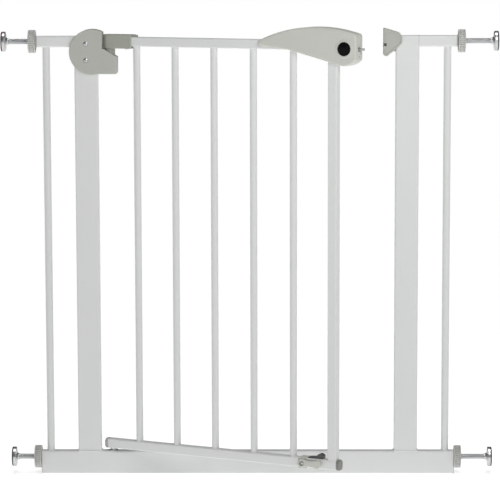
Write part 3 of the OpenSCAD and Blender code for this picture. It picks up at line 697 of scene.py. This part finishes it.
for corner, side in CORNERS.items():
    body = "wheel_" + corner
    piece("wheel_nut_" + corner, wheel_nut(corner, side), wheel_plastic, "wheel_plastic", body, body)


# ---- hinge housing at the top of the left post --------------------------------------------------
# Two moulded halves closed round the post with two screws: a disc over the joint of post and
# rail, and a block beside it with a sloping top, on which the door's hinge arm turns.

hinge_plastic = moulded_plastic("hinge_grey_plastic", (0.475, 0.49, 0.445), 0.50, 0.06)
hinge_line = Vector(joints["door_swing"]["pos_m"])


def arc(centre, radius, start, end, steps):
    """Points on an arc, from one angle in degrees to another."""
    angles = [radians(start + (end - start) * k / steps) for k in range(steps + 1)]
    return [(centre[0] + radius * cos(t), centre[1] + radius * sin(t), 0) for t in angles]


def housing_outline(slot):
    """The housing from the front: the disc, cut away for the arm, and the block with its slope."""
    low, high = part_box("hinge_housing_front")
    disc_r = (high.z - low.z) / 2
    disc = (low.x + disc_r, low.z + disc_r)
    arm_r = 11 * MM
    slot_right = hinge_line.x - arm_r
    slot_left = slot_right - slot
    slope_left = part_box("hinge_arm")[0].z + 10.5 * MM
    slope_right = slope_left - 14 * MM
    bottom = low.z + 1 * MM
    start = degrees(acos((slot_left - disc[0]) / disc_r))
    end = 360 - degrees(asin((disc[1] - bottom) / disc_r))
    return rounded(arc(disc, disc_r, start, end, 72) + [
        (high.x, bottom, 3.2 * MM), (high.x, slope_right, 3.0 * MM),
        (slot_right, slope_left, 0), (slot_left, slope_left, 0)])


def screw_pockets(points, place, head, deep):
    """Chamfered pockets that screw heads sit in, sunk from local Z = 0 down."""
    return [turned([(0, -deep), (head, -deep), (head, -0.5 * MM), (head + 0.5 * MM, 0.01 * MM),
                    (head + 0.5 * MM, 3 * MM), (0, 3 * MM)], place @ Matrix.Translation(point), 32)
            for point in points]


def solid_middles(name):
    """The middle of each separate solid of a CAD node, such as a set of screws."""
    return [(low + high) / 2 for low, high in split_boxes(name)]


def split_boxes(name):
    """The box of each separate solid of a CAD node."""
    loose = bmesh.new()
    loose.from_mesh(nodes[name].data)
    bmesh.ops.remove_doubles(loose, verts=loose.verts, dist=0.001 * MM)
    boxes, left = [], set(loose.verts)
    while left:
        stack, island = [left.pop()], []
        while stack:
            vert = stack.pop()
            island.append(vert.co.copy())
            for edge in vert.link_edges:
                other = edge.other_vert(vert)
                if other in left:
                    left.remove(other)
                    stack.append(other)
        boxes.append((Vector([min(p[i] for p in island) for i in range(3)]),
                      Vector([max(p[i] for p in island) for i in range(3)])))
    loose.free()
    return sorted(boxes, key=lambda box: -box[0].z)


HEAD_R, HEAD_T = 3.8 * MM, 2.4 * MM
housing_screws = solid_middles("hinge_housing_screws")


def housing_half(inner, outer):
    """One half from the parting line to its outer face, cut out for the post, rail and arm's foot."""
    in_front = outer < inner
    outline = housing_outline(1.5 * MM if in_front else 0.7 * MM)
    half = moulded(outline, rounded_edge(inner, outer, 1.3 * MM, seam=0.3 * MM, steps=6), UPRIGHT)
    post_low, post_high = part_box("left_post")
    foot_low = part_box("hinge_arm")[0].z
    deep = 60 * MM
    if in_front:
        place = aim((0, outer, 0), (0, -1, 0))
        points = [place.inverted() @ Vector((p.x, outer, p.z)) for p in housing_screws]
        half = carved(half, *screw_pockets(points, place, HEAD_R + FIT, HEAD_T + 0.3 * MM))
    tools = [around((post_low - Vector((0, 0, deep)), post_high)),
             around(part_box("left_top_rail"), below=1.4, above=1.3),
             turned([(0, 0), (9.3 * MM, 0), (9.3 * MM, deep), (0, deep)],
                    Matrix.Translation((hinge_line.x, 0, foot_low - 0.5 * MM)), 48)]
    if in_front:
        low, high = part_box("hinge_housing_front")
        slant = [(high.x + 3 * MM, -1.0), (high.x + 3 * MM, 3.4), (high.x - 6.5 * MM, -0.01),
                 (high.x - 6.5 * MM, -1.0)]
        tools.append(skin([[Vector((x, outer + y * MM, z)) for x, y in slant]
                           for z in (low.z - 2 * MM, low.z + 80 * MM)]))
    return softened(carved(half, *tools))


front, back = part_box("hinge_housing_front")[0].y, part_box("hinge_housing_rear")[1].y
piece("hinge_housing_front_half", housing_half(0, front), hinge_plastic,
      "hinge_plastic", "frame", "hinge_housing_front")
piece("hinge_housing_rear_half", housing_half(0, back), hinge_plastic,
      "hinge_plastic", "frame", "hinge_housing_rear")
finish_nodes(zinc_steel, "zinc_steel", "upper_hinge_pin")


# ---- screws -----------------------------------------------------------------------------------
# Zinc-plated pan-head screws with a cross recess hold the mouldings. They are all the same kind
# in different sizes, so one tree makes them wherever they sit.

def screw_tree():
    """A pan-head screw on each point: its head's underside at the point, its shank along -Z."""
    inlet = new_tree("pan_head_screw", {"Head": 0.0038, "Height": 0.0024, "Shank": 0.002, "Length": 0.02,
                                        "Cross": 0.0044, "Blade": 0.0009, "Turn": (0.0, 0.0, 0.0)})
    head, height = inlet.other("Head"), inlet.other("Height")
    disc = inlet.node("GeometryNodeMeshCylinder", {"fill_type": "TRIANGLE_FAN"}, {
        "Vertices": 36, "Side Segments": 3, "Fill Segments": 6, "Radius": head, "Depth": height})
    place = inlet.node("GeometryNodeInputPosition")
    x = place.node("ShaderNodeSeparateXYZ", {}, {"Vector": place}, out="X")
    y, z = x.other("Y"), x.other("Z")
    reach = (x * x + y * y) / (head * head)
    upper = (z / height + 0.5) * 0.42
    dome = z - upper * reach * height
    curved = place.node("ShaderNodeCombineXYZ", {}, {"X": x, "Y": y, "Z": dome + 0.5 * height})
    disc = inlet.node("GeometryNodeSetPosition", {}, {"Geometry": disc, "Position": curved})
    blades = []
    for width, depth in (("Cross", "Blade"), ("Blade", "Cross")):
        size = inlet.node("ShaderNodeCombineXYZ", {}, {
            "X": inlet.other(width), "Y": inlet.other(depth), "Z": height * 1.1})
        blade = inlet.node("GeometryNodeMeshCube", {}, {"Size": size})
        lift = inlet.node("ShaderNodeCombineXYZ", {}, {"X": 0.0, "Y": 0.0, "Z": height})
        blades.append(inlet.node("GeometryNodeTransform", {}, {"Geometry": blade, "Translation": lift}))
    for blade in blades:
        disc = inlet.node("GeometryNodeMeshBoolean", {"operation": "DIFFERENCE", "solver": "EXACT"},
                          {"Mesh 1": disc, "Mesh 2": blade})
    shank = inlet.node("GeometryNodeMeshCylinder", {"fill_type": "TRIANGLE_FAN"}, {
        "Vertices": 20, "Side Segments": 1, "Fill Segments": 1,
        "Radius": inlet.other("Shank"), "Depth": inlet.other("Length")})
    drop = inlet.node("ShaderNodeCombineXYZ", {}, {
        "X": 0.0, "Y": 0.0, "Z": 0.0001 - inlet.other("Length") / 2})
    shank = inlet.node("GeometryNodeTransform", {}, {"Geometry": shank, "Translation": drop})
    both = inlet.node("GeometryNodeJoinGeometry", {}, {"Geometry": disc})
    inlet.tree.links.new(shank.socket, both.socket.node.inputs["Geometry"])
    return end_tree(inlet, put_on_points(inlet, both))


pan_head_screw = screw_tree()


def screws(points, place, shank, length, head=HEAD_R, height=HEAD_T, cross=4.4 * MM):
    """Screws at points of a place, their heads towards its local Z."""
    made = grown(pan_head_screw, points, zinc_steel, place, Head=head, Height=height, Shank=shank,
                 Length=length, Cross=cross, Blade=0.9 * MM)
    return softened(made, 28)


def screws_into(points, outward, underside, shank, length, **sizes):
    """Screws through points, with their heads' undersides on a plane across their axis."""
    outward = Vector(outward)
    place = aim(outward * underside, outward)
    seats = [place.inverted() @ (p - outward * (p.dot(outward) - underside)) for p in points]
    return screws(seats, place, shank, length, **sizes)


piece("hinge_housing_screw_set",
      screws_into(housing_screws, (0, -1, 0), -front - HEAD_T, 2 * MM, 25 * MM),
      zinc_steel, "zinc_steel", "frame", "hinge_housing_screws")


# ---- hinge arm --------------------------------------------------------------------------------
# A darker grey sleeve pushed over the end of the door's top rail and held by a screw from below.
# Its near end is round about the pin, and its round foot turns in the housing's well.

arm_plastic = moulded_plastic("hinge_arm_plastic", (0.40, 0.415, 0.36), 0.46, 0.06)
along = Vector(joints["tongue_slide"]["axis"]).normalized()
through = Vector(joints["button_press"]["axis"]).normalized()
ON_DOOR = Matrix.Translation((hinge_line.x, hinge_line.y, 0)) @ Matrix(
    (along, through, (0, 0, 1))).transposed().to_4x4()


def door_box(name):
    """A CAD node's box in the door's own directions: along it, through it and up."""
    away = ON_DOOR.inverted()
    points = [away @ vert.co for vert in nodes[name].data.vertices]
    return (Vector([min(p[i] for p in points) for i in range(3)]),
            Vector([max(p[i] for p in points) for i in range(3)]))


def hinge_arm():
    low, high = door_box("hinge_arm")
    arm_r = -low.x
    end, base, top = 46 * MM, low.z + 11 * MM, low.z + 35 * MM
    outline = rounded(arc((0, 0), arm_r, 90, 270, 28) + [
        (end, -arm_r, 1.8 * MM), (end, arm_r, 1.8 * MM)], 4)
    middle_z = (base + top) / 2
    edge = rounded_edge(0, top - middle_z, 1.6 * MM)
    sleeve = moulded(outline, both_ways(edge, edge), ON_DOOR @ Matrix.Translation((0, 0, middle_z)))
    foot = turned([(0, low.z), (8.2 * MM, low.z), (9 * MM, low.z + 0.8 * MM), (9 * MM, base + 3 * MM),
                   (0, base + 3 * MM)], ON_DOOR, 48)
    tab = moulded(rounded([(end - 4 * MM, -5 * MM, 1.5 * MM), (high.x, -5 * MM, 2 * MM),
                           (high.x, 5 * MM, 2 * MM), (end - 4 * MM, 5 * MM, 1.5 * MM)]),
                  [(0, high.z - 3.8 * MM)] + rounded_edge(high.z - 3.6 * MM, high.z - 0.6 * MM, 1.1 * MM),
                  ON_DOOR)
    rail_low, rail_high = door_box("door_top_rail")
    socket = block((rail_low.x, rail_low.y - FIT, rail_low.z - FIT),
                   (rail_high.x, rail_high.y + FIT, rail_high.z + FIT), ON_DOOR)
    pin = turned([(0, low.z - 5 * MM), (5.1 * MM, low.z - 5 * MM), (5.1 * MM, low.z + 26 * MM),
                  (0, low.z + 26 * MM)], ON_DOOR, 40)
    groove_at, groove = end - 4.2 * MM, 0.35 * MM
    frame_cut = carved(
        block((groove_at, -arm_r - 1 * MM, base - 1 * MM),
              (groove_at + 0.7 * MM, arm_r + 1 * MM, top + 1 * MM), ON_DOOR),
        block((groove_at - 1 * MM, -arm_r + groove, base + groove),
              (groove_at + 2 * MM, arm_r - groove, top - groove), ON_DOOR))
    whole = carved(sleeve, foot, tab, way="UNION")
    return softened(carved(whole, socket, pin, frame_cut))


piece("hinge_arm_sleeve", hinge_arm(), arm_plastic, "arm_plastic", "door", "hinge_arm")
arm_screw = solid_middles("hinge_arm_screw")
piece("hinge_arm_screw_head",
      screws_into(arm_screw, (0, 0, -1), -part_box("hinge_arm")[0].z - 11 * MM, 1.4 * MM, 8 * MM,
                  head=3 * MM, height=1.6 * MM, cross=3.4 * MM),
      zinc_steel, "zinc_steel", "door", "hinge_arm_screw")


# ---- door -------------------------------------------------------------------------------------
# Two square rails with five round bars and a square end post welded between them, in the same
# white coat as the frame.

DOOR_TUBES = ["door_top_rail", "door_bottom_rail", "door_end_post"] + [f"door_bar_{k}" for k in range(1, 6)]
finish_nodes(white_coat, "white_paint", *DOOR_TUBES)


def door_welds():
    """Beads round both ends of every bar and round the foot of the end post."""
    low, high = door_box("door_bar_1")
    bar_d = high.x - low.x
    bars = [door_box(f"door_bar_{k}") for k in range(1, 6)]
    ends = [((a.x + b.x) / 2, 0, z) for a, b in bars for z in (a.z, b.z)]
    parts = [grown(weld_bead, ends, white_coat, ON_DOOR, Width=bar_d, Depth=bar_d, Corner=bar_d / 2,
                   Bead=1.0 * MM, Ripples=24.0)]
    post_low, post_high = door_box("door_end_post")
    across = post_high.x - post_low.x
    parts.append(grown(weld_bead, [((post_low.x + post_high.x) / 2, 0, post_low.z)], white_coat, ON_DOOR,
                       Width=across - 0.8 * MM, Depth=across - 0.8 * MM, Corner=2 * MM, Bead=1.0 * MM,
                       Ripples=38.0))
    return joined(*parts)


piece("door_weld_beads", door_welds(), white_coat, "white_paint", "door")


# ---- bottom hinge and the caps of the door's bottom rail ----------------------------------------
# A steel pin stands in a bush in the frame's bottom rail and in the grey cap at the hinge end.
# Both caps are eight-sided mouldings; the one at the latch end is dark.

dark_plastic = moulded_plastic("dark_grey_plastic", (0.10, 0.104, 0.10), 0.44, 0.06)
cap_plastic = moulded_plastic("dark_cap_plastic", (0.235, 0.24, 0.225), 0.46, 0.06)


def rail_cap(node, outer, inner):
    """An eight-sided head with a rounded face."""
    low, high = door_box(node)
    half = (high.z - low.z) / 2
    middle_z = (high.z + low.z) / 2
    flat = half - 4 * MM
    ring = [(-half, -flat), (-flat, -half), (flat, -half), (half, -flat),
            (half, flat), (flat, half), (-flat, half), (-half, flat)]
    outline = rounded([(a, middle_z + b, 1.0 * MM) for a, b in ring], 3)
    return softened(moulded(outline, rounded_edge(inner, outer, 1.3 * MM, seam=0.3 * MM), ON_DOOR @ ENDWISE))


cap_head = 6 * MM
left_end = door_box("door_cap_left")[0].x
right_end = door_box("door_cap_right")[1].x
finish_nodes(grey_plastic, "grey_plastic", "lower_hinge_bush")
finish_nodes(zinc_steel, "zinc_steel", "lower_hinge_pin")
piece("hinge_end_cap", rail_cap("door_cap_left", left_end, left_end + cap_head), grey_plastic,
      "grey_plastic", "door", "door_cap_left")
piece("latch_end_cap", rail_cap("door_cap_right", right_end, right_end - cap_head), cap_plastic,
      "dark_plastic", "door", "door_cap_right")


# ---- handle -----------------------------------------------------------------------------------
# Two light grey half shells closed round the latch end of the top rail, screwed from the rear:
# a long curved back over the rail that swells into a round lobe, with a soft ring at the button.

handle_plastic = moulded_plastic("handle_light_grey", (0.60, 0.605, 0.555), 0.47, 0.05)
button_low, button_high = door_box("latch_button")
BUTTON_R = (button_high.z - button_low.z) / 2
BUTTON_AT = Vector(((button_high.x + button_low.x) / 2, 0, (button_high.z + button_low.z) / 2))
BUTTON_AT.x = button_high.x - BUTTON_R


def handle_outline():
    """The handle from the front: curved back, blunt tip, sweep to the lobe, and its square end."""
    low, high = door_box("handle_front")
    back_r, lobe_r = 237 * MM, 29 * MM
    end, tip = high.x, low.x
    crest = (end - 73 * MM, high.z - back_r)
    rail_low, rail_high = door_box("door_top_rail")
    lobe = (end - 22 * MM, rail_high.z - 12 * MM)
    lobe_end = -degrees(acos((end - lobe[0]) / lobe_r))
    top_start = degrees(acos((end - crest[0]) / back_r))
    top_end = degrees(acos((tip - crest[0]) / back_r))
    top = arc(crest, back_r, top_start, top_end, 44)
    top[0] = (*top[0][:2], 5.0 * MM)
    top[-1] = (*top[-1][:2], 3.6 * MM)
    under = arc(lobe, lobe_r, 250 - 360, lobe_end, 16)
    under[-1] = (*under[-1][:2], 3.4 * MM)
    tip_corner = (tip, rail_high.z - 10 * MM, 3.6 * MM)
    return rounded([tip_corner, (end - 122 * MM, rail_low.z, 60 * MM)] + under + top)


def drop_close(outline, gap):
    """The outline without points that crowd the one before them."""
    kept = [outline[0]]
    for point in outline[1:]:
        if (point - kept[-1]).length > gap:
            kept.append(point)
    return kept


def button_ring(place):
    """The soft raised ring round the button's bore, along local Z from the shell's face."""
    steps = [(BUTTON_R + 5.4 * MM - 3.6 * MM * k / 8, 0.75 * MM * sin(pi / 2 * k / 8)) for k in range(9)]
    return turned([(0, -3 * MM), (BUTTON_R + 5.4 * MM, -3 * MM)] + steps + [(0, 0.75 * MM)], place, 64)


def handle_half(outer):
    """One half shell from the parting line, with a crowned face and room for rail, post and latch."""
    way = 1 if outer > 0 else -1
    outline = drop_close(handle_outline(), 0.15 * MM)
    profile = rounded_edge(0, outer - way * 0.6 * MM, 3.2 * MM, seam=0.5 * MM, steps=7)
    profile += [(3.35 * MM, outer - way * 0.52 * MM), (3.45 * MM, outer - way * 0.5 * MM)]
    shell = moulded(outline, profile, ON_DOOR @ UPRIGHT)
    tongue_low, tongue_high = door_box("latch_tongue")
    end_hole = aim(ON_DOOR @ Vector((door_box("handle_front")[1].x, 0, BUTTON_AT.z - 13 * MM)), along)
    tools = [around(door_box("door_top_rail"), ON_DOOR),
             around(door_box("door_end_post"), ON_DOOR),
             block((door_box("door_top_rail")[1].x, tongue_low.y - 0.3 * MM, tongue_low.z - 0.6 * MM),
                   (tongue_high.x - 10.3 * MM, tongue_high.y + 0.6 * MM, tongue_high.z + 0.6 * MM), ON_DOOR),
             block((tongue_high.x - 30 * MM, -5.0 * MM, tongue_low.z + 1.8 * MM),
                   (tongue_high.x + 9 * MM, 5.0 * MM, tongue_low.z + 8.2 * MM), ON_DOOR),
             turned([(0, -12 * MM), (1.8 * MM, -12 * MM), (1.8 * MM, -0.4 * MM), (2.3 * MM, 0.1 * MM),
                     (2.3 * MM, 3 * MM), (0, 3 * MM)], end_hole, 24)]
    for k in (4, 5):
        low, high = door_box(f"door_bar_{k}")
        centre = (low.x + high.x) / 2
        radius = (high.x - low.x) / 2 + FIT
        tools.append(turned([(0, low.z), (radius, low.z), (radius, high.z), (0, high.z)],
                            ON_DOOR @ Matrix.Translation((centre, 0, 0)), 40))
    if way < 0:
        face = aim(ON_DOOR @ Vector((BUTTON_AT.x, outer + 0.5 * MM, BUTTON_AT.z)), -through)
        shell = carved(shell, button_ring(face), way="UNION")
        bore = BUTTON_R + 0.3 * MM
        tools.append(turned([(0, -12 * MM), (bore, -12 * MM), (bore, 0.1 * MM), (bore + 0.7 * MM, 0.8 * MM),
                             (bore + 0.7 * MM, 3 * MM), (0, 3 * MM)], face, 64))
    else:
        place = aim(ON_DOOR @ Vector((0, outer, 0)), through)
        points = [place.inverted() @ p for p in handle_screw_heads]
        tools += screw_pockets([Vector((p.x, p.y, -0.5 * MM)) for p in points], place,
                               HEAD_R + FIT, HEAD_T)
    return softened(carved(shell, *tools))


handle_screw_heads = solid_middles("handle_screws")
piece("handle_front_shell", handle_half(door_box("handle_front")[0].y), handle_plastic,
      "handle_plastic", "door", "handle_front")
piece("handle_rear_shell", handle_half(door_box("handle_rear")[1].y), handle_plastic,
      "handle_plastic", "door", "handle_rear")
rear_face = (ON_DOOR @ Vector((0, door_box("handle_rear")[1].y, 0))).dot(through)
piece("handle_screw_set",
      screws_into(handle_screw_heads, through, rear_face - HEAD_T - 0.3 * MM, 1.8 * MM, 22 * MM),
      zinc_steel, "zinc_steel", "door", "handle_screws")


# ---- button, tongue and spring ------------------------------------------------------------------
# The button is a glossy black dome with a fine ring turned in it. It pushes a wedge that draws
# the steel tongue back against its coil spring inside the rail.

def gloss_black():
    """Polished black plastic with faint fingertip haze."""
    material, surface, where = new_material("gloss_black_plastic", Specular_IOR_Level=0.08)
    haze = noise(where, 160, 4.0, 0.6)
    haze.blend((0.002, 0.002, 0.002, 1.0), (0.005, 0.005, 0.005, 1.0)).into(surface, "Base Color")
    (0.08 + 0.10 * haze ** 2.0).into(surface, "Roughness")
    bump(haze, surface, 0.01 * MM, 0.3)
    return material


button_black = gloss_black()


def button():
    """A domed cap with a rounded edge and a shallow turned ring, its wedge hidden behind it."""
    front_face = -button_low.y
    place = aim(ON_DOOR @ Vector((BUTTON_AT.x, 0, BUTTON_AT.z)), -through)
    base = 9 * MM
    edge = front_face - 1.5 * MM
    cap = [(0, base), (BUTTON_R, base), (BUTTON_R, edge)]
    cap += [(BUTTON_R - 0.9 * MM * (1 - cos(t)), edge + 0.9 * MM * sin(t))
            for t in [pi / 2 * k / 5 for k in range(1, 6)]]
    ring = BUTTON_R * 0.72
    dome = [(ring + 0.5 * MM, 0.78), (ring + 0.1 * MM, 0.62), (ring - 0.4 * MM, 0.62),
            (ring - 0.8 * MM, 0.85)]
    cap += [(radius, edge + 0.9 * MM + 0.6 * MM * (share - 0.6) / 0.4 * 0.9) for radius, share in dome]
    inner = ring - 0.8 * MM
    cap += [(inner * cos(t), edge + 0.9 * MM + 0.34 * MM + 0.24 * MM * sin(t))
            for t in [pi / 2 * k / 6 for k in range(1, 6)]]
    cap.append((0, edge + 1.5 * MM))
    low, high = door_box("latch_button")
    wide, thin = high.x - BUTTON_R + 3.5 * MM, high.x - BUTTON_R - 9.5 * MM
    sides = [(wide, -base - 0.2 * MM), (wide, high.y), (thin, -base), (thin, -base - 0.2 * MM)]
    wedge = skin([[ON_DOOR @ Vector((u, v, z)) for u, v in sides]
                  for z in (BUTTON_AT.z - 3 * MM, BUTTON_AT.z + 3 * MM)])
    return softened(carved(turned(cap, place, 64), wedge, way="UNION"), 26)


piece("button_cap", button(), button_black, "button_black", "button", "latch_button")


def tongue():
    """The CAD tongue's shape with every edge broken, as the real stamping is."""
    sharp = bmesh.new()
    sharp.from_mesh(nodes["latch_tongue"].data)
    bmesh.ops.remove_doubles(sharp, verts=sharp.verts, dist=0.001 * MM)
    bmesh.ops.dissolve_limit(sharp, angle_limit=radians(2), verts=sharp.verts, edges=sharp.edges)
    edges = [e for e in sharp.edges if e.is_manifold and e.calc_face_angle() > radians(25)]
    bmesh.ops.bevel(sharp, geom=edges, offset=0.45 * MM, segments=3, profile=0.5, affect="EDGES",
                    clamp_overlap=True)
    return softened(mesh_of(sharp, "tongue"), 40)


piece("latch_tongue_bolt", tongue(), zinc_steel, "zinc_steel", "tongue", "latch_tongue")
finish_nodes(zinc_steel, "zinc_steel", "latch_spring")


# ---- catch on the right post --------------------------------------------------------------------
# A grey moulding hooked round the post's top corner and screwed to its inner side. A rim follows
# its lower edges, and the pocket in its inner face takes the tongue.

def catch_outline(rim=0.0):
    """The catch from the front, or the edge of its sunk face, a rim's width inside."""
    low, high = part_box("catch")
    left, right, top, bottom = low.x, high.x, high.z, low.z
    corners = [(left + 0.2 * MM, top, 1.8), (left, bottom + 1.5 * MM, 1.8),
               (left + 5.5 * MM, bottom - 0.3 * MM, 3.0),
               (right - 8.5 * MM, top - 34 * MM, 12), (right, top - 25 * MM, 5.0),
               (right, top - 14 * MM, 6.0), (right - 4.5 * MM, top - 8 * MM, 4.0)]
    inner = inset([Vector(corner[:2]) for corner in corners], rim)
    radii = [max(corner[2] * MM - rim, 0.7 * MM) for corner in corners]
    return rounded([(*point, radius) for point, radius in zip(inner, radii)])


def catch():
    """The whole catch: a rounded plate, its sunk face, the seat for the post and the pocket."""
    low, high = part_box("catch")
    outer = rounded_edge(0, high.y, 1.5 * MM)
    body = moulded(catch_outline(), both_ways(outer, outer), UPRIGHT)
    tongue_z = door_box("latch_tongue")[0].z + 5 * MM
    tools = [around(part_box("right_post")),
             around(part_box("right_top_rail"), below=1.4, above=1.3),
             block((low.x - 1 * MM, -4.6 * MM, tongue_z - 4 * MM),
                   (low.x + 9.5 * MM, 4.6 * MM, tongue_z + 4 * MM)),
             block((low.x - 2 * MM, low.y - 5 * MM, tongue_z - 2.5 * MM),
                   (low.x + 5.2 * MM, 3 * MM, tongue_z + 2.5 * MM))]
    sunk = catch_outline(rim=2.4 * MM)
    for face in (low.y, high.y):
        way = 1 if face > 0 else -1
        tools.append(moulded(sunk, [(0.5 * MM, face - way * 1.0 * MM), (0, face + way * 0.1 * MM),
                                    (0, face + way * 2 * MM)], UPRIGHT))
    place = aim((low.x, 0, 0), (-1, 0, 0))
    heads = [place.inverted() @ Vector((low.x, 0, p.z)) for p in catch_screw_points]
    tools += screw_pockets(heads, place, HEAD_R + FIT, 8 * MM)
    return softened(carved(body, *tools))


catch_screw_points = solid_middles("catch_screws")
piece("latch_catch", catch(), hinge_plastic, "hinge_plastic", "frame", "catch")
piece("catch_screw_set",
      screws_into(catch_screw_points, (-1, 0, 0), -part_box("catch")[0].x - 8 * MM, 1.9 * MM, 19 * MM),
      zinc_steel, "zinc_steel", "frame", "catch_screws")


# ---- swing stop ---------------------------------------------------------------------------------
# A light saddle wraps the door's bottom rail, with a dark ramp lying beside it on the rail. The
# bone-shaped lever turns on a screw in the saddle, down in front of the frame's rail.

def stop_lever():
    """Two round lobes with a waist between them, all edges soft, and a sunk seat for the screw."""
    low, high = door_box("stop_lever")
    lobe_r = (high.z - low.z) / 2
    left, right = low.x + lobe_r, high.x - lobe_r
    mid_z = (low.z + high.z) / 2
    lap, waist = radians(118), lobe_r * 0.66
    outline = [Vector(p[:2]) for p in arc((right, mid_z), lobe_r, -118, 118, 26)]
    upper = []
    for k in range(1, 14):
        share = k / 14
        u = (right + lobe_r * cos(lap)) * (1 - share) + (left - lobe_r * cos(lap)) * share
        dip = (lobe_r * sin(lap) - waist) * sin(pi * share) ** 0.8
        upper.append(Vector((u, mid_z + lobe_r * sin(lap) - dip)))
    outline += upper
    outline += [Vector(p[:2]) for p in arc((left, mid_z), lobe_r, 62, 298, 26)]
    outline += [Vector((p.x, 2 * mid_z - p.y)) for p in reversed(upper)]
    body = moulded(outline, [(1.0 * MM, high.y), (0, high.y - 0.8 * MM), *rounded_edge(
        high.y - 0.9 * MM, low.y, 2.0 * MM)[1:]], ON_DOOR @ UPRIGHT)
    face = aim(ON_DOOR @ Vector((0, low.y, 0)), -through)
    pivot = face.inverted() @ (ON_DOOR @ Vector((left, low.y, mid_z)))
    return softened(carved(body, *screw_pockets([pivot], face, 4.3 * MM, 3.7 * MM)))


piece("swing_stop_lever", stop_lever(), handle_plastic, "handle_plastic", "stop", "stop_lever")


def stop_saddle():
    """A light block wrapped round the rail under the pivot, with a tail behind the rail."""
    low, high = door_box("stop_clip")
    rail_low, rail_high = door_box("door_bottom_rail")
    wall, half = 1.2 * MM, (high.y - low.y) / 2
    start = rail_high.z
    outline = rounded([(low.x, rail_low.z - wall, 1.2 * MM), (low.x + 15 * MM, rail_low.z - wall, 1.2 * MM),
                       (low.x + 15 * MM, start + wall, 1.2 * MM), (low.x, start + wall, 1.2 * MM)])
    edge = rounded_edge(0, half, 1.0 * MM)
    wrap = moulded(outline, both_ways(edge, edge), ON_DOOR @ UPRIGHT)
    tail = block((low.x + 10 * MM, rail_high.y - 1 * MM, rail_low.z + 2 * MM),
                 (high.x - 1 * MM, high.y - 0.7 * MM, start - 0.5 * MM), ON_DOOR)
    whole = carved(wrap, tail, way="UNION")
    return softened(carved(whole, around((rail_low, rail_high), ON_DOOR)))


def stop_ramp():
    """The dark buffer: a thin tongue along the top of the rail that rises to a knob."""
    low, high = door_box("stop_clip")
    start, top, right = door_box("door_bottom_rail")[1].z + FIT, high.z, high.x
    ramp_from = low.x + 15.2 * MM
    ramp = rounded([(ramp_from, start, 0), (right, start, 0), (right, top - 2.5 * MM, 1.8 * MM),
                    (right - 4.5 * MM, top, 2.4 * MM), (right - 8 * MM, top, 2.0 * MM),
                    (right - 12 * MM, start + 2.6 * MM, 3 * MM), (ramp_from, start + 1.2 * MM, 0)])
    near = rounded_edge(0, 4 * MM, 0.5 * MM)
    far = rounded_edge(0, high.y - 0.8 * MM, 0.5 * MM)
    return softened(moulded(ramp, both_ways(near, far), ON_DOOR @ UPRIGHT))


piece("swing_stop_saddle", stop_saddle(), handle_plastic, "handle_plastic", "door", "stop_clip")
piece("swing_stop_ramp", stop_ramp(), dark_plastic, "dark_plastic", "door")
lever_front = door_box("stop_lever")[0].y
stop_face = (ON_DOOR @ Vector((0, lever_front + 3.6 * MM, 0))).dot(-through)
piece("swing_stop_screw",
      screws_into(solid_middles("stop_screw"), -through, stop_face, 2 * MM, 18 * MM,
                  head=2.8 * MM, height=1.3 * MM, cross=3.2 * MM),
      zinc_steel, "zinc_steel", "door", "stop_screw")


# ---- studio -------------------------------------------------------------------------------------
# A pale floor that runs out of sight, a broad ceiling of light and a dim white surround, and one
# large soft lamp at the upper right in front, so that the left is a little greyer.

def pale_floor():
    material, surface, where = new_material("pale_floor", Roughness=0.9, Specular_IOR_Level=0.1)
    noise(where, 3, 3.0).blend((0.90, 0.90, 0.90, 1.0), (0.92, 0.92, 0.92, 1.0)).into(surface, "Base Color")
    surface.inputs["Emission Color"].default_value = (1.0, 1.0, 1.0, 1.0)
    surface.inputs["Emission Strength"].default_value = 0.62
    return material


floor_half = 80.0
floor = added("floor", bpy.data.meshes.new("floor"))
floor.data.from_pydata([(-floor_half, -floor_half, 0), (floor_half, -floor_half, 0),
                        (floor_half, floor_half, 0), (-floor_half, floor_half, 0)], [], [(0, 1, 2, 3)])
floor.data.materials.append(pale_floor())

surround = bpy.data.worlds.new("surround")
surround.use_nodes = True
surround.node_tree.nodes["Background"].inputs["Color"].default_value = (1.0, 1.0, 1.0, 1.0)
surround.node_tree.nodes["Background"].inputs["Strength"].default_value = 0.11
bpy.context.scene.world = surround


def soft_lamp(name, place, target, size, watts):
    data = bpy.data.lights.new(name, "AREA")
    data.shape = "RECTANGLE"
    data.size, data.size_y = size
    data.energy = watts
    lamp = added(name, data)
    lamp.location = place
    lamp.rotation_euler = (Vector(target) - Vector(place)).to_track_quat("-Z", "Y").to_euler()


def overhead_light(strength, spread, tilt):
    """A broad ceiling of light, the same all over the floor."""
    data = bpy.data.lights.new("ceiling", "SUN")
    data.energy = strength
    data.angle = radians(spread)
    added("ceiling", data).rotation_euler = (radians(tilt), 0, 0)


overhead_light(1.0, 24, 2)
soft_lamp("key_lamp", (0.5, -1.2, 1.35), (0.3, 0, 0.55), (0.9, 0.6), 7.0)


def level_camera():
    """The camera, a little above the gate's top and a little right of its middle, looking down."""
    place = Vector((0.0592, -4.20, 0.9345))
    down, aside, lean = radians(7.367), radians(-0.741), radians(-0.135)
    ahead = Vector((sin(aside) * cos(down), cos(aside) * cos(down), -sin(down)))
    right = Vector((cos(aside), -sin(aside), 0))
    up = right.cross(ahead)
    right, up = right * cos(lean) + up * sin(lean), up * cos(lean) - right * sin(lean)
    data = bpy.data.cameras.new("camera")
    data.sensor_width = 36.0
    data.lens = 176.9
    camera = added("camera", data)
    camera.matrix_world = Matrix.Translation(place) @ Matrix((right, up, -ahead)).transposed().to_4x4()
    bpy.context.scene.camera = camera


level_camera()
bpy.context.scene.view_settings.view_transform = "Standard"
